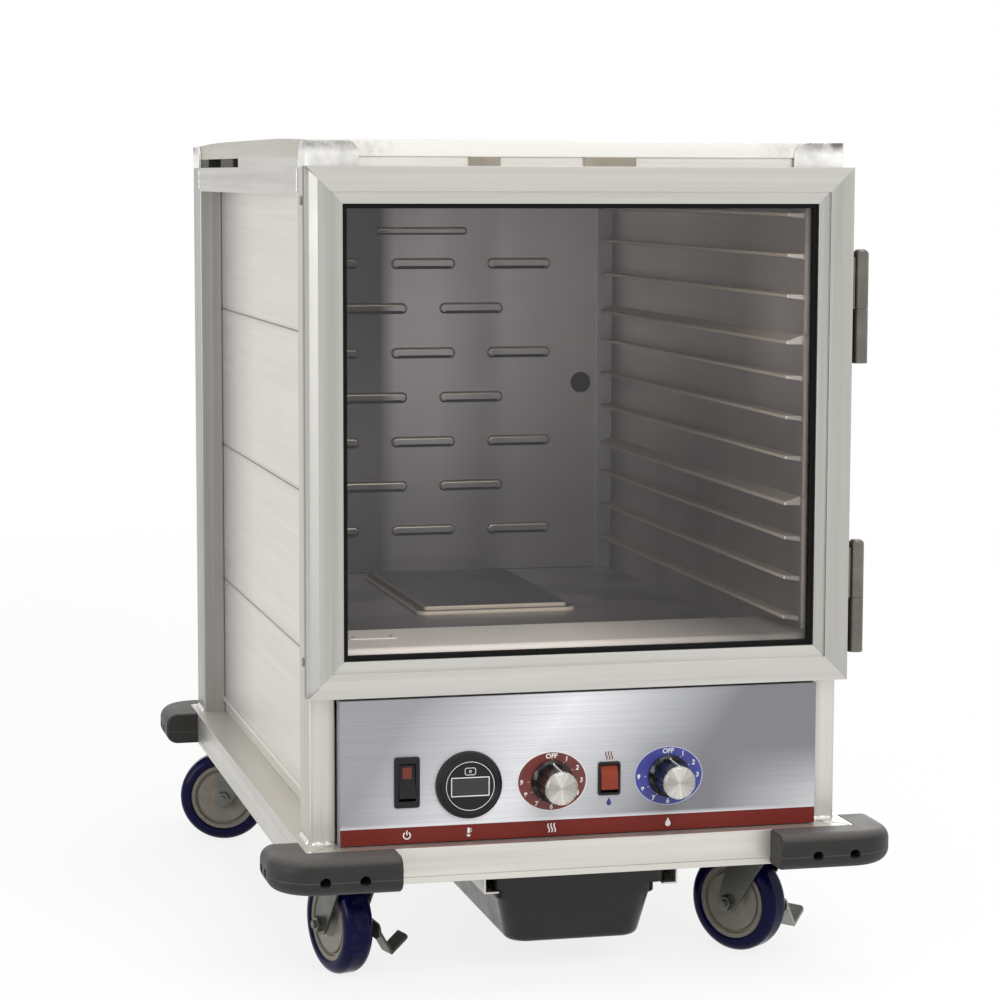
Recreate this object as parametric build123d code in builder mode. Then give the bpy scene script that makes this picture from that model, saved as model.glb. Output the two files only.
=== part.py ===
from build123d import *
from math import cos, radians, sin
import os

os.makedirs("parts", exist_ok=True)

# The cabinet stands on the ground at z = 0, faces -Y, and is centred on its base frame.

# Fits and gaps
running_fit = 0.05
slide_gap = 0.5
swing_gap = 0.4
screw_room = 0.2

# Base frame of channel rails
base_width = 543.0
base_depth = 798.0
base_underside = 112.7
rail_height = 34.0
rail_wall = 3.0
rail_top_flange = 40.0
rail_low_flange = 14.0
rail_groove_rise = 5.7
rail_groove = 1.0

# Corner posts of rectangular tube
post_span = 524.4
post_width = 25.4
post_depth = 50.8
post_wall = 2.5
post_corner = 2.0
post_top = 785.0
front_setback = 34.4
rear_setback = 2.0

# Top rails, corner brackets and roof cover
top_rail_height = 26.8
top_rail_wall = 2.0
roof_gap = 9.5
roof_rim = 14.5
roof_crown = 3.5
roof_flat_length = 300.0
roof_wall = 2.0
bracket_wall = 3.0
bracket_front_leg = 49.0
bracket_side_leg = 45.0
bracket_round = 12.0
bearer_width = 16.0
bearer_setback = 3.2
bearer_start = 65.0
bearer_end = 437.0
front_bearer_length = 440.0
spacer_width = 3.0
front_spacers = ((-92.0, 30.0), (30.0, 51.0))
side_spacers = ((518.0, 90.0), (687.0, 57.0))

# Side walls of ribbed planks, with the pan ledges on the inside
plank_height = 158.6
plank_count = 4
plank_wall = 2.5
plank_seam = 0.8
wall_lap_front = 26.0
wall_lap_rear = 26.0
ledges_per_plank = 4
ledge_reach = 14.0
ledge_lip = 3.0
ledge_root = 5.0
seam_ledge_height = 9.0
ledge_front_inset = 5.0
ledge_rear_inset = 29.6
ledge_end_cut = 6.0
foot_bead_rise = 15.0
foot_bead_radius = 3.0

# Panels of the heated space
sheet = 1.5
floor_sheet = 2.0
floor_top = 306.4
floor_gap = 0.2
ceiling_top = 769.5
louvre_plane = 711.0
louvre_half_width = 216.0
louvre_strip_lean = 4.0
back_panel_inset = 15.0
louvre_length = 77.4
louvre_height = 13.0
louvre_rise = 5.0
louvre_round = 3.4
louvre_slot_height = 4.0
louvre_row_pitch = 52.85
louvre_column_pitch = 116.5
louvre_top_row = 673.4
louvre_rows = 7
louvre_odd_centre = 2.6
louvre_even_centre = -55.7
rack_slot_x = 1.0
rack_slot_z = 712.0
rack_slot_length = 110.0
rack_slot_height = 9.0
sensor_hole_x = 196.5
sensor_hole_z = 530.4
sensor_hole_diameter = 25.0

# Raised cover over the steam opening in the floor
cover_x = 10.0
cover_y = 154.0
cover_width = 177.2
cover_depth = 305.0
cover_step = 4.0
cover_inset = 9.0
cover_corner = 12.0
cover_inner_corner = 4.0
cover_round = 2.4
cover_top_round = 1.6
steam_opening_width = 120.0
steam_opening_depth = 220.0

# Door sill
sill_top = 332.7
sill_underside = 288.0
sill_depth = 114.0
sill_bead = 6.0

# Door
door_width = 533.4
door_bottom = 289.0
door_top = 785.7
door_front = 21.0
door_depth = 17.8
member_width = 34.7
member_step = 11.4
member_step_depth = 2.5
stile_lip = 4.0
stile_slope_end = 11.0
stile_lip_depth = 7.0
glass_channel_depth = 6.0
glass_channel_width = 8.0
glass_channel_reach = 8.0
gasket_show = 4.5
pane_thickness = 4.0
pane_grip = 8.0
seal_width = 15.0
seal_inset = 8.7

# Lift-off hinges on the right
barrel_x = 277.4
barrel_y = 12.0
barrel_diameter = 15.5
barrel_round = 5.4
hinge_pin_diameter = 8.0
hinge_spans = ((315.1, 368.7, 426.1), (597.5, 649.9, 707.6))
hinge_pin_rise = 40.0
leaf_wall = 2.5
door_leaf_depth = 14.0
frame_leaf_depth = 36.0
frame_leaf_start = 4.0
hinge_screw_inset = 14.0
hinge_screw_setback = 24.0

# Heater drawer
panel_front = 18.0
panel_half_width = 236.0
panel_bottom = 147.7
panel_top = 286.5
panel_flange = 16.6
panel_sheet = 1.6
drawer_half_width = 229.0
drawer_length = 540.0
drawer_side_height = 118.0
glide_width = 20.0
glide_inset = 6.0
drawer_opening_x = 10.0
drawer_opening_y = -150.0
drawer_opening_width = 120.0
drawer_opening_depth = 150.0

# Controls on the drawer's front
power_x = -171.9
power_z = 206.6
power_bezel = (24.6, 48.8)
power_well = (16.6, 36.0)
mode_x = 26.7
mode_z = 201.4
mode_bezel = (22.2, 32.5)
mode_well = (17.6, 27.4)
bezel_proud = 2.5
bezel_corner = 2.5
bezel_round = 0.8
switch_body_depth = 22.0
switch_body_margin = 1.5
rocker_side_gap = 0.4
rocker_end_gap = 1.6
power_rocker_face = (3.0, 1.2, 0.0)
mode_rocker_face = (1.6, 3.4, 2.9)
rocker_round = 0.6
rocker_pivot_depth = 4.0
rocker_root_depth = 3.0
rocker_back_taper = 3.0
rocker_tilt = -10.0
switch_well_spare = 2.0
gauge_x = -111.8
gauge_z = 201.6
gauge_diameter = 65.3
gauge_face = (24.2, 7.0)
gauge_steps = ((25.5, 9.0), (28.1, 8.2), (29.1, 5.9), (31.7, 4.5))
gauge_body_diameter = 50.0
gauge_body_depth = 24.0
heat_x = -30.1
humidity_x = 86.3
dial_z = 201.4
dial_width = 68.7
dial_height = 57.3
dial_plate = 0.8
dial_hole = 12.0
knob_skirt_diameter = 41.0
knob_skirt_edge = 2.0
knob_skirt_rise = 6.0
knob_body_diameter = 34.5
knob_top_diameter = 32.0
knob_height = 36.0
knob_cap_diameter = 29.0
knob_cap_thickness = 1.5
knob_cap_chamfer = 0.5
knob_flutes = 10
knob_flute_radius = 3.2
knob_flute_offset = 1.6
knob_flute_foot = 4.8
knob_panel_gap = 1.0
shaft_diameter = 6.0
shaft_reach = 24.0
shaft_end_room = 1.0
thermostat_width = 44.0
thermostat_depth = 28.0
thermostat_corner = 5.0

# Fan, elements and cord gland
motor_x = 0.0
motor_y = 40.0
motor_diameter = 84.0
motor_height = 52.0
motor_round = 6.0
motor_shaft_rise = 34.0
fan_diameter = 150.0
fan_hub_diameter = 28.0
fan_height = 20.0
fan_blades = 6
fan_blade_wall = 1.6
fan_blade_length = 54.0
fan_blade_radius = 43.5
fan_blade_twist = 25.0
fan_rise = 10.0
element_diameter = 8.0
element_leg_diameter = 6.4
air_element_radius = 96.0
air_element_rise = 62.0
steam_element_half = 45.0
steam_element_length = 120.0
steam_element_rise = 20.0
gland_x = 170.0
gland_z = 215.0
gland_diameter = 24.0
gland_round = 4.0
gland_neck_diameter = 16.6
gland_length = 14.0
gland_bore = 10.0

# Water pan and its runners
pan_x = 6.9
pan_rim_width = 176.0
pan_rim_length = 325.0
pan_rim_top = 104.0
pan_rim_drop = 13.5
pan_depth = 72.0
pan_wall = 2.5
pan_mouth = (161.0, 310.0)
pan_shoulder = (155.0, 304.0)
pan_floor = (134.0, 284.0)
pan_shoulder_drop = 26.0
pan_corner = 22.0
pan_rim_corner = 14.0
pan_floor_round = 7.0
pan_rim_round = 2.0
pan_front = 7.0
runner_gap = 7.7
runner_wall = 1.6
runner_foot = 13.0
runner_foot_top = 89.6
runner_length = 345.0

# Corner bumpers
bumper_reach = 36.5
bumper_overlap = 0.5
bumper_corner = 46.0
bumper_round = 13.0
bumper_end_round = 3.0
end_arm_length = 86.0
front_side_arm_length = 48.0
rear_side_arm_length = 65.0
bumper_hole_diameter = 10.5
bumper_hole_depth = 28.0
bumper_hole_rise = 13.3
end_arm_hole_insets = (49.6, 11.9)
side_arm_hole_insets = (15.5, 37.5)
screw_shank_diameter = 4.6
screw_head_diameter = 8.5
screw_head_height = 3.0
screw_end = 12.0
screw_head_round = 1.0
post_screw_y = 20.0
post_screw_heights = (319.0, 753.5)

# Casters
caster_inset_x = 61.5
caster_inset_y = 83.0
caster_load_rise = 17.5
wheel_diameter = 101.6
tread_width = 30.0
tread_inner_radius = 37.5
tread_bead = 1.5
tread_flat_half = 6.7
tread_shoulder = 9.0
tread_shoulder_bulge = (12.0, 2.7)
hub_face = 12.5
hub_web_inset = 1.0
hub_boss_radius = 11.0
hub_boss_foot = 3.0
hub_boss_foot_inset = 2.0
hub_boss_chamfer = 1.0
hub_boss_half = 17.2
hub_groove_radius = 31.3
hub_groove = 2.0
hub_groove_depth = 4.0
axle_diameter = 9.5
axle_head_diameter = 16.0
axle_head = 6.0
axle_end_diameter = 7.6
axle_end = 3.0
caster_trail = 33.0
pad_length = 118.5
pad_half_depth = 50.0
caster_plate = (64.0, 92.0, 3.0)
caster_plate_corner = 6.0
race_diameter = 50.0
race_height = 6.2
race_round = 2.5
kingpin_diameter = 12.0
kingpin_head_diameter = 20.0
kingpin_head = 5.0
crown_length = 48.0
crown_plate = 3.0
crown_skirt = 6.0
fork_inner = 18.0
fork_wall = 2.5
fork_eye_radius = 11.0
fork_lug = (33.0, 11.0)
fork_lug_setback = 3.3
fork_lug_rise = 43.7
trail_angles = {"front_left": 105.0, "front_right": 126.0, "rear_left": 166.6, "rear_right": 120.0}
lever_wall = 2.5
lever_eye_radius = 9.0
lever_reach = 45.0
lever_drop = 4.0
lever_tip_radius = 8.0
pedal_width = 22.0
pedal_corner = 5.0
pedal_foot = (13.0, 22.0)
pedal_end = (31.0, 7.0)

# Places worked out from the sizes above
base_top = base_underside + rail_height
half_width = base_width / 2
half_depth = base_depth / 2
bumper_outer_x = half_width + bumper_reach
bumper_outer_y = half_depth + bumper_reach
bumper_bottom = base_underside - bumper_overlap
bumper_top = base_top + bumper_overlap
bumper_hole_z = base_underside + bumper_hole_rise
caster_x = half_width - caster_inset_x
caster_y = half_depth - caster_inset_y
caster_load_height = base_underside + caster_load_rise
post_outer = post_span / 2
post_inner = post_outer - post_width
front_plane = -half_depth + front_setback
rear_plane = half_depth - rear_setback
mid_y = (front_plane + rear_plane) / 2
top_rail_bottom = post_top - top_rail_height
cover_underside = post_top + roof_gap
roof_edge = cover_underside + roof_rim
wall_front = front_plane + wall_lap_front
wall_rear = rear_plane - wall_lap_rear
wall_inner = post_inner - plank_wall
ledge_pitch = plank_height / ledges_per_plank
ledge_front = wall_front + ledge_front_inset
ledge_rear = wall_rear - ledge_rear_inset
louvre_y = front_plane + louvre_plane
floor_front = front_plane + sill_depth
panel_inner_x = wall_inner - floor_gap
door_front_y = front_plane - door_front
door_back_y = door_front_y + door_depth
door_left = -door_width / 2
door_right = door_width / 2
hinge_y = front_plane - barrel_y
panel_y = front_plane - panel_front
panel_back_y = panel_y + panel_sheet
drawer_floor = panel_bottom + panel_sheet
drawer_rear_y = panel_back_y + drawer_length
deck_top = base_top


# Writes one node; several builders give one node of separate solids
def write_node(node_name, *builders):
    if len(builders) == 1:
        node = builders[0].part
    else:
        node = Compound([solid for builder in builders for solid in builder.part.solids()])
    node.label = node_name
    export_step(node, f"parts/{node_name}.step")


# Adds or cuts a block between two corners in the part that is open
def block(low, high, mode=Mode.ADD):
    size = [b - a for a, b in zip(low, high)]
    with Locations(tuple((a + b) / 2 for a, b in zip(low, high))):
        Box(*size, mode=mode)


# A round bar or bore along a direction, in the part that is open
def rod(start, direction, diameter, length, mode=Mode.ADD):
    with BuildSketch(Plane(origin=start, z_dir=direction)) as end:
        Circle(diameter / 2)
    extrude(end.sketch, amount=length, mode=mode)


# A straight tube or bar between two corners
def square_tube(low, high, wall, axis):
    with BuildPart() as tube:
        block(low, high)
        if wall:
            inner_low = [a if i == axis else a + wall for i, a in enumerate(low)]
            inner_high = [b if i == axis else b - wall for i, b in enumerate(high)]
            block(inner_low, inner_high, Mode.SUBTRACT)
    return tube


# One length of channel rail, given the middle of its outer face and the way in, mitred at both ends
def channel_rail(outer_middle, inward, length, hole_places):
    inward = Vector(*inward)
    along = inward.cross(Vector(0, 0, 1))
    with BuildPart() as rail:
        with BuildSketch(Plane(origin=outer_middle, x_dir=inward, z_dir=along)) as section:
            with BuildLine():
                Polyline(
                    (0, 0),
                    (rail_low_flange, 0),
                    (rail_low_flange, rail_wall),
                    (rail_wall, rail_wall),
                    (rail_wall, rail_height - rail_wall),
                    (rail_top_flange, rail_height - rail_wall),
                    (rail_top_flange, rail_height),
                    (0, rail_height),
                    (0, rail_groove_rise + rail_groove),
                    (rail_groove, rail_groove_rise + rail_groove / 2),
                    (0, rail_groove_rise),
                    (0, 0),
                )
            make_face()
        extrude(section.sketch, amount=length / 2, both=True)
        with BuildSketch(Plane(origin=outer_middle, x_dir=along, z_dir=(0, 0, 1))) as outline:
            with BuildLine():
                Polyline(
                    (-length / 2, 0),
                    (length / 2, 0),
                    (length / 2 - rail_top_flange, rail_top_flange),
                    (-length / 2 + rail_top_flange, rail_top_flange),
                    (-length / 2, 0),
                )
            make_face()
        extrude(outline.sketch, amount=rail_height, mode=Mode.INTERSECT)
        for place in hole_places:
            start = Vector(*outer_middle) + along * place + Vector(0, 0, bumper_hole_z - base_underside)
            rod(start, inward, screw_shank_diameter + screw_room, rail_wall, Mode.SUBTRACT)
    return rail


# Base frame: four rails around the foot of the cabinet
end_holes = [side * (half_width - inset) for side in (-1, 1) for inset in end_arm_hole_insets]
side_holes = [side * (half_depth - inset) for side in (-1, 1) for inset in side_arm_hole_insets]
front_rail = channel_rail((0, -half_depth, base_underside), (0, 1, 0), base_width, end_holes)
rear_rail = channel_rail((0, half_depth, base_underside), (0, -1, 0), base_width, end_holes)
left_rail = channel_rail((-half_width, 0, base_underside), (1, 0, 0), base_depth, side_holes)
right_rail = channel_rail((half_width, 0, base_underside), (-1, 0, 0), base_depth, side_holes)
write_node("base_rails", front_rail, rear_rail, left_rail, right_rail)

# Deck sheet between the top flanges, open over the water pan
with BuildPart() as base_deck:
    deck_x = half_width - rail_top_flange
    deck_y = half_depth - rail_top_flange
    block((-deck_x, -deck_y, deck_top - rail_wall), (deck_x, deck_y, deck_top))
    opening_low = (drawer_opening_x - drawer_opening_width / 2, drawer_opening_y - drawer_opening_depth / 2)
    opening_high = (drawer_opening_x + drawer_opening_width / 2, drawer_opening_y + drawer_opening_depth / 2)
    block((*opening_low, deck_top - rail_wall), (*opening_high, deck_top), Mode.SUBTRACT)

# Pads under the deck and the rails' top flanges, one for each caster
pads = []
for x_side in (-1, 1):
    for y_side in (-1, 1):
        pad_outer = half_width - rail_wall
        pad_x = (x_side * (pad_outer - pad_length), x_side * pad_outer)
        pad_low = (min(pad_x), y_side * caster_y - pad_half_depth, caster_load_height)
        pad_high = (max(pad_x), y_side * caster_y + pad_half_depth, base_top - rail_wall)
        pads.append(square_tube(pad_low, pad_high, rail_wall, 0))
write_node("deck_and_caster_pads", base_deck, *pads)


# Section of a bumper, from its outer face inwards, with the two outer edges rounded
def bumper_section(plane):
    with BuildSketch(plane) as section:
        with Locations((-bumper_reach / 2, (bumper_top - bumper_bottom) / 2)):
            Rectangle(bumper_reach, bumper_top - bumper_bottom)
        fillet(section.vertices().sort_by(Axis.X)[-2:], bumper_round)
    return section.sketch


# One rubber corner bumper: two arms and a quarter turn, cut away where the rails sit
def corner_bumper(x_side, y_side, side_arm_length):
    outer_x = x_side * bumper_outer_x
    outer_y = y_side * bumper_outer_y
    turn_x = outer_x - x_side * bumper_corner
    turn_y = outer_y - y_side * bumper_corner
    turning = x_side * y_side
    end_straight = end_arm_length + bumper_reach - bumper_corner
    side_straight = side_arm_length + bumper_reach - bumper_corner
    end_section = bumper_section(
        Plane(origin=(turn_x, outer_y, bumper_bottom), x_dir=(0, y_side, 0), z_dir=(y_side, 0, 0))
    )
    side_section = bumper_section(
        Plane(origin=(outer_x, turn_y, bumper_bottom), x_dir=(x_side, 0, 0), z_dir=(0, -x_side, 0))
    )
    with BuildPart() as bumper:
        extrude(end_section, amount=-turning * end_straight)
        revolve(end_section, axis=Axis((turn_x, turn_y, bumper_bottom), (0, 0, -turning)), revolution_arc=90)
        extrude(side_section, amount=turning * side_straight)
        block(
            (-half_width, -half_depth, bumper_bottom),
            (half_width, half_depth, bumper_top),
            Mode.SUBTRACT,
        )
        for outward in ((x_side, 0, 0), (0, y_side, 0)):
            end_face = bumper.faces().sort_by(Axis((0, 0, 0), outward))[0]
            rim = end_face.edges().sort_by_distance((0, 0, (bumper_bottom + bumper_top) / 2))[1:]
            fillet(rim, bumper_end_round)
        for inset in end_arm_hole_insets:
            mouth = (x_side * (half_width - inset), outer_y, bumper_hole_z)
            rod(mouth, (0, -y_side, 0), bumper_hole_diameter, bumper_hole_depth, Mode.SUBTRACT)
            rod(mouth, (0, -y_side, 0), screw_shank_diameter + screw_room, bumper_outer_y, Mode.SUBTRACT)
        for inset in side_arm_hole_insets:
            mouth = (outer_x, y_side * (half_depth - inset), bumper_hole_z)
            rod(mouth, (-x_side, 0, 0), bumper_hole_diameter, bumper_hole_depth, Mode.SUBTRACT)
            rod(mouth, (-x_side, 0, 0), screw_shank_diameter + screw_room, bumper_outer_x, Mode.SUBTRACT)
    return bumper


write_node(
    "front_bumpers", corner_bumper(-1, -1, front_side_arm_length), corner_bumper(1, -1, front_side_arm_length)
)
write_node("rear_bumpers", corner_bumper(-1, 1, rear_side_arm_length), corner_bumper(1, 1, rear_side_arm_length))


# A pan-head screw with its head on a face, pointing along a direction
def pan_screw(head_face, direction, shank_length):
    direction = Vector(*direction)
    with BuildPart() as screw:
        rod(head_face, direction * -1, screw_head_diameter, screw_head_height)
        crown = max(screw.faces().filter_by(GeomType.PLANE), key=lambda face: -face.center().dot(direction))
        fillet(crown.edges(), screw_head_round)
        rod(head_face, direction, screw_shank_diameter, shank_length)
    return screw


screws = []
bumper_floor = bumper_outer_y - bumper_hole_depth
bumper_side_floor = bumper_outer_x - bumper_hole_depth
for y_side in (-1, 1):
    for place in end_holes:
        head = (place, y_side * bumper_floor, bumper_hole_z)
        screws.append(pan_screw(head, (0, -y_side, 0), bumper_floor - half_depth + screw_end))
for x_side in (-1, 1):
    for place in side_holes:
        head = (x_side * bumper_side_floor, place, bumper_hole_z)
        screws.append(pan_screw(head, (-x_side, 0, 0), bumper_side_floor - half_width + screw_end))
for height in post_screw_heights:
    head = (-post_outer, front_plane + post_screw_y, height)
    screws.append(pan_screw(head, (1, 0, 0), post_wall))
hinge_screw_heights = []
for low, split, high in hinge_spans:
    hinge_screw_heights.extend((low + hinge_screw_inset, split - hinge_screw_inset))
for height in hinge_screw_heights:
    head = (post_outer + leaf_wall, front_plane + hinge_screw_setback, height)
    screws.append(pan_screw(head, (-1, 0, 0), leaf_wall + post_wall))
write_node("frame_screws", *screws)


# One post of rectangular tube, with screw holes through its outer wall
def corner_post(centre_x, centre_y, hole_y=0, hole_heights=()):
    with BuildPart() as post:
        with BuildSketch(Plane(origin=(centre_x, centre_y, base_top))) as section:
            RectangleRounded(post_width, post_depth, post_corner)
            Rectangle(post_width - 2 * post_wall, post_depth - 2 * post_wall, mode=Mode.SUBTRACT)
        extrude(section.sketch, amount=post_top - base_top)
        for height in hole_heights:
            inward = -1 if centre_x > 0 else 1
            start = (centre_x - inward * post_width, hole_y, height)
            rod(start, (inward, 0, 0), screw_shank_diameter + screw_room, post_width, Mode.SUBTRACT)
    return post


post_x = post_outer - post_width / 2
front_post_y = front_plane + post_depth / 2
rear_post_y = rear_plane - post_depth / 2
write_node(
    "front_posts",
    corner_post(-post_x, front_post_y, front_plane + post_screw_y, post_screw_heights),
    corner_post(post_x, front_post_y, front_plane + hinge_screw_setback, hinge_screw_heights),
)
write_node("rear_posts", corner_post(-post_x, rear_post_y), corner_post(post_x, rear_post_y))


# Top rails between the posts, and the flat bearers that carry the roof cover
top_pieces = []
for side in (-1, 1):
    outer_x = side * post_outer
    inner_x = side * post_inner
    low_x = min(outer_x, inner_x)
    high_x = max(outer_x, inner_x)
    top_pieces.append(
        square_tube(
            (low_x, front_plane + post_depth, top_rail_bottom),
            (high_x, rear_plane - post_depth, post_top),
            top_rail_wall,
            1,
        )
    )
    bearer_x = side * (post_outer - bearer_setback)
    bearer_in = side * (post_outer - bearer_setback - bearer_width)
    top_pieces.append(
        square_tube(
            (min(bearer_x, bearer_in), front_plane + bearer_start, post_top),
            (max(bearer_x, bearer_in), front_plane + bearer_end, cover_underside),
            0,
            1,
        )
    )
for plane_y, inward in ((front_plane, 1), (rear_plane, -1)):
    inner_y = plane_y + inward * post_width
    top_pieces.append(
        square_tube(
            (-post_inner, min(plane_y, inner_y), top_rail_bottom),
            (post_inner, max(plane_y, inner_y), post_top),
            top_rail_wall,
            0,
        )
    )
    bearer_y = plane_y + inward * (bearer_setback + spacer_width)
    bearer_in = bearer_y + inward * bearer_width
    top_pieces.append(
        square_tube(
            (-front_bearer_length / 2, min(bearer_y, bearer_in), post_top),
            (front_bearer_length / 2, max(bearer_y, bearer_in), cover_underside),
            0,
            0,
        )
    )
write_node("top_frame_rails", *top_pieces)

# Dark packing blocks that show in the gap under the roof cover
spacers = []
for centre, length in front_spacers:
    for plane_y, inward in ((front_plane, 1), (rear_plane, -1)):
        edge_y = plane_y + inward * bearer_setback
        inner_y = edge_y + inward * spacer_width
        spacers.append(
            square_tube(
                (centre - length / 2, min(edge_y, inner_y), post_top),
                (centre + length / 2, max(edge_y, inner_y), cover_underside),
                0,
                0,
            )
        )
for centre, length in side_spacers:
    for side in (-1, 1):
        edge_x = side * (post_outer - bearer_setback)
        inner_x = side * (post_outer - bearer_setback - bearer_width)
        centre_y = front_plane + centre
        spacers.append(
            square_tube(
                (min(edge_x, inner_x), centre_y - length / 2, post_top),
                (max(edge_x, inner_x), centre_y + length / 2, cover_underside),
                0,
                1,
            )
        )
write_node("roof_spacers", *spacers)


# One upright leg of a corner bracket, its free top end rounded
def bracket_leg(plane, length, height):
    with BuildSketch(plane) as leg:
        with BuildLine():
            Polyline((0, 0), (length, 0), (length, height), (0, height), (0, 0))
        make_face()
        fillet(leg.vertices().sort_by_distance((length, height))[0], bracket_round)
    extrude(leg.sketch, amount=bracket_wall)


# Corner brackets on top of the posts
brackets = []
for x_side in (-1, 1):
    for y_side, plane_y in ((-1, front_plane), (1, rear_plane)):
        bracket_height = roof_edge - post_top
        corner = (x_side * post_outer, plane_y, post_top)
        with BuildPart() as bracket:
            front_face = Plane(origin=corner, x_dir=(-x_side, 0, 0), z_dir=(0, x_side, 0))
            front_offset = 0 if x_side == -y_side else -bracket_wall
            bracket_leg(front_face.offset(front_offset), bracket_front_leg, bracket_height)
            side_face = Plane(origin=corner, x_dir=(0, -y_side, 0), z_dir=(-y_side, 0, 0))
            side_offset = 0 if x_side == y_side else -bracket_wall
            bracket_leg(side_face.offset(side_offset), bracket_side_leg, bracket_height)
        brackets.append(bracket)
write_node("top_corner_brackets", *brackets)


# Side view of the crowned cover: a flat middle, two arcs down to the rim and its underside
def crown_outline(half_length, inset):
    top = roof_edge + roof_crown - inset
    low = cover_underside
    reach = half_length - inset
    edge = roof_edge - inset
    flat = roof_flat_length / 2
    with BuildSketch(Plane.YZ.offset(-post_outer)) as outline:
        with BuildLine():
            Line((mid_y - flat, top), (mid_y + flat, top))
            rear_arc = TangentArc((mid_y + flat, top), (mid_y + reach, edge), tangent=(1, 0))
            Line(rear_arc @ 1, (mid_y + reach, low))
            Line((mid_y + reach, low), (mid_y - reach, low))
            Line((mid_y - reach, low), (mid_y - reach, edge))
            TangentArc((mid_y - flat, top), (mid_y - reach, edge), tangent=(-1, 0))
        make_face()
    return outline.sketch


# Crowned roof cover with a folded rim, inside the corner brackets
cover_half_x = post_outer - bracket_wall - floor_gap
cover_half_y = (rear_plane - front_plane) / 2 - bracket_wall - floor_gap
with BuildPart() as roof_hollow:
    extrude(crown_outline(cover_half_y, roof_wall), amount=2 * post_outer)
    block(
        (-cover_half_x + roof_wall, front_plane, cover_underside),
        (cover_half_x - roof_wall, rear_plane, roof_edge + roof_crown),
        Mode.INTERSECT,
    )
with BuildPart() as roof_cover:
    extrude(crown_outline(cover_half_y, 0), amount=2 * post_outer)
    block(
        (-cover_half_x, front_plane, cover_underside),
        (cover_half_x, rear_plane, roof_edge + roof_crown),
        Mode.INTERSECT,
    )
    add(roof_hollow.part, mode=Mode.SUBTRACT)
write_node("roof_cover", roof_cover)


# One wall plank: a flat sheet with its ledges, seen along Y
def wall_plank(side, number):
    low = base_top + number * plank_height
    high = low + plank_height
    outer_x = side * post_inner
    inner_x = side * wall_inner
    tip_x = side * (wall_inner - ledge_reach)
    above_floor = low > floor_top - plank_height / 2
    with BuildPart() as plank:
        with BuildSketch(Plane.XZ.offset(-wall_front)) as sheet_section:
            with BuildLine():
                Polyline(
                    (outer_x - side * plank_seam, low),
                    (inner_x, low),
                    (inner_x, high),
                    (outer_x - side * plank_seam, high),
                    (outer_x, high - plank_seam),
                    (outer_x, low + plank_seam),
                    (outer_x - side * plank_seam, low),
                )
            make_face()
        extrude(sheet_section.sketch, amount=-(wall_rear - wall_front))
        if number == 0:
            bead_front = front_plane + post_depth
            bead_rear = rear_plane - post_depth
            with BuildSketch(Plane.XZ.offset(-bead_front)) as bead_section:
                with Locations((outer_x, low + foot_bead_rise)):
                    Circle(foot_bead_radius)
                with Locations((outer_x - side * foot_bead_radius, low + foot_bead_rise)):
                    Rectangle(2 * foot_bead_radius, 4 * foot_bead_radius, mode=Mode.SUBTRACT)
            extrude(bead_section.sketch, amount=-(bead_rear - bead_front))
        for step in range(1, ledges_per_plank + 1):
            height = low + step * ledge_pitch
            last = step == ledges_per_plank
            if not above_floor or height > ceiling_top:
                continue
            lip_top = height - (seam_ledge_height - ledge_lip if last else 0)
            root = height - (seam_ledge_height if last else ledge_root)
            with BuildSketch(Plane.XZ.offset(-ledge_front)) as ledge_section:
                with BuildLine():
                    Polyline(
                        (inner_x, height),
                        (tip_x, lip_top),
                        (tip_x, lip_top - ledge_lip),
                        (inner_x, root),
                        (inner_x, height),
                    )
                make_face()
            extrude(ledge_section.sketch, amount=-(ledge_rear - ledge_front))
            with BuildSketch(Plane.XY.offset(root - ledge_pitch / 4)) as end_cut:
                with BuildLine():
                    Polyline(
                        (tip_x, ledge_front),
                        (inner_x, ledge_front),
                        (tip_x, ledge_front + ledge_end_cut),
                        (tip_x, ledge_front),
                    )
                make_face()
            extrude(end_cut.sketch, amount=ledge_pitch / 2, mode=Mode.SUBTRACT)
    return plank


write_node("left_wall_planks", *[wall_plank(-1, number) for number in range(plank_count)])
write_node("right_wall_planks", *[wall_plank(1, number) for number in range(plank_count)])

# Outer back panel between the rear posts, with the hole for the cord gland
with BuildPart() as back_panel:
    back_y = rear_plane - back_panel_inset
    block((-post_inner, back_y - sheet, base_top), (post_inner, back_y, top_rail_bottom))
    rod((gland_x, back_y, gland_z), (0, -1, 0), gland_neck_diameter + screw_room, sheet, Mode.SUBTRACT)
write_node("back_panel", back_panel)

# Cord gland; the cord itself is not shown and is left out
with BuildPart() as cord_gland:
    rod((gland_x, back_y, gland_z), (0, 1, 0), gland_diameter, gland_length)
    fillet(cord_gland.faces().sort_by(Axis.Y)[-1].edges(), gland_round)
    rod((gland_x, back_y, gland_z), (0, -1, 0), gland_neck_diameter, gland_length)
    rod((gland_x, back_y - gland_length, gland_z), (0, 1, 0), gland_bore, 2 * gland_length, Mode.SUBTRACT)
write_node("cord_gland", cord_gland)

# Ceiling of the heated space
with BuildPart() as ceiling_panel:
    ceiling_front = front_plane + post_width + floor_gap
    block(
        (-panel_inner_x, ceiling_front, ceiling_top - sheet),
        (panel_inner_x, louvre_y + sheet, ceiling_top),
    )
write_node("ceiling_panel", ceiling_panel)


# One pressed louvre: a rounded hood with a slot under it
def louvre(centre_x, centre_z):
    with BuildSketch(Plane(origin=(centre_x, louvre_y, centre_z), x_dir=(1, 0, 0), z_dir=(0, -1, 0))) as hood:
        SlotOverall(louvre_length, louvre_height)
    extrude(hood.sketch, amount=louvre_rise)


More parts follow.
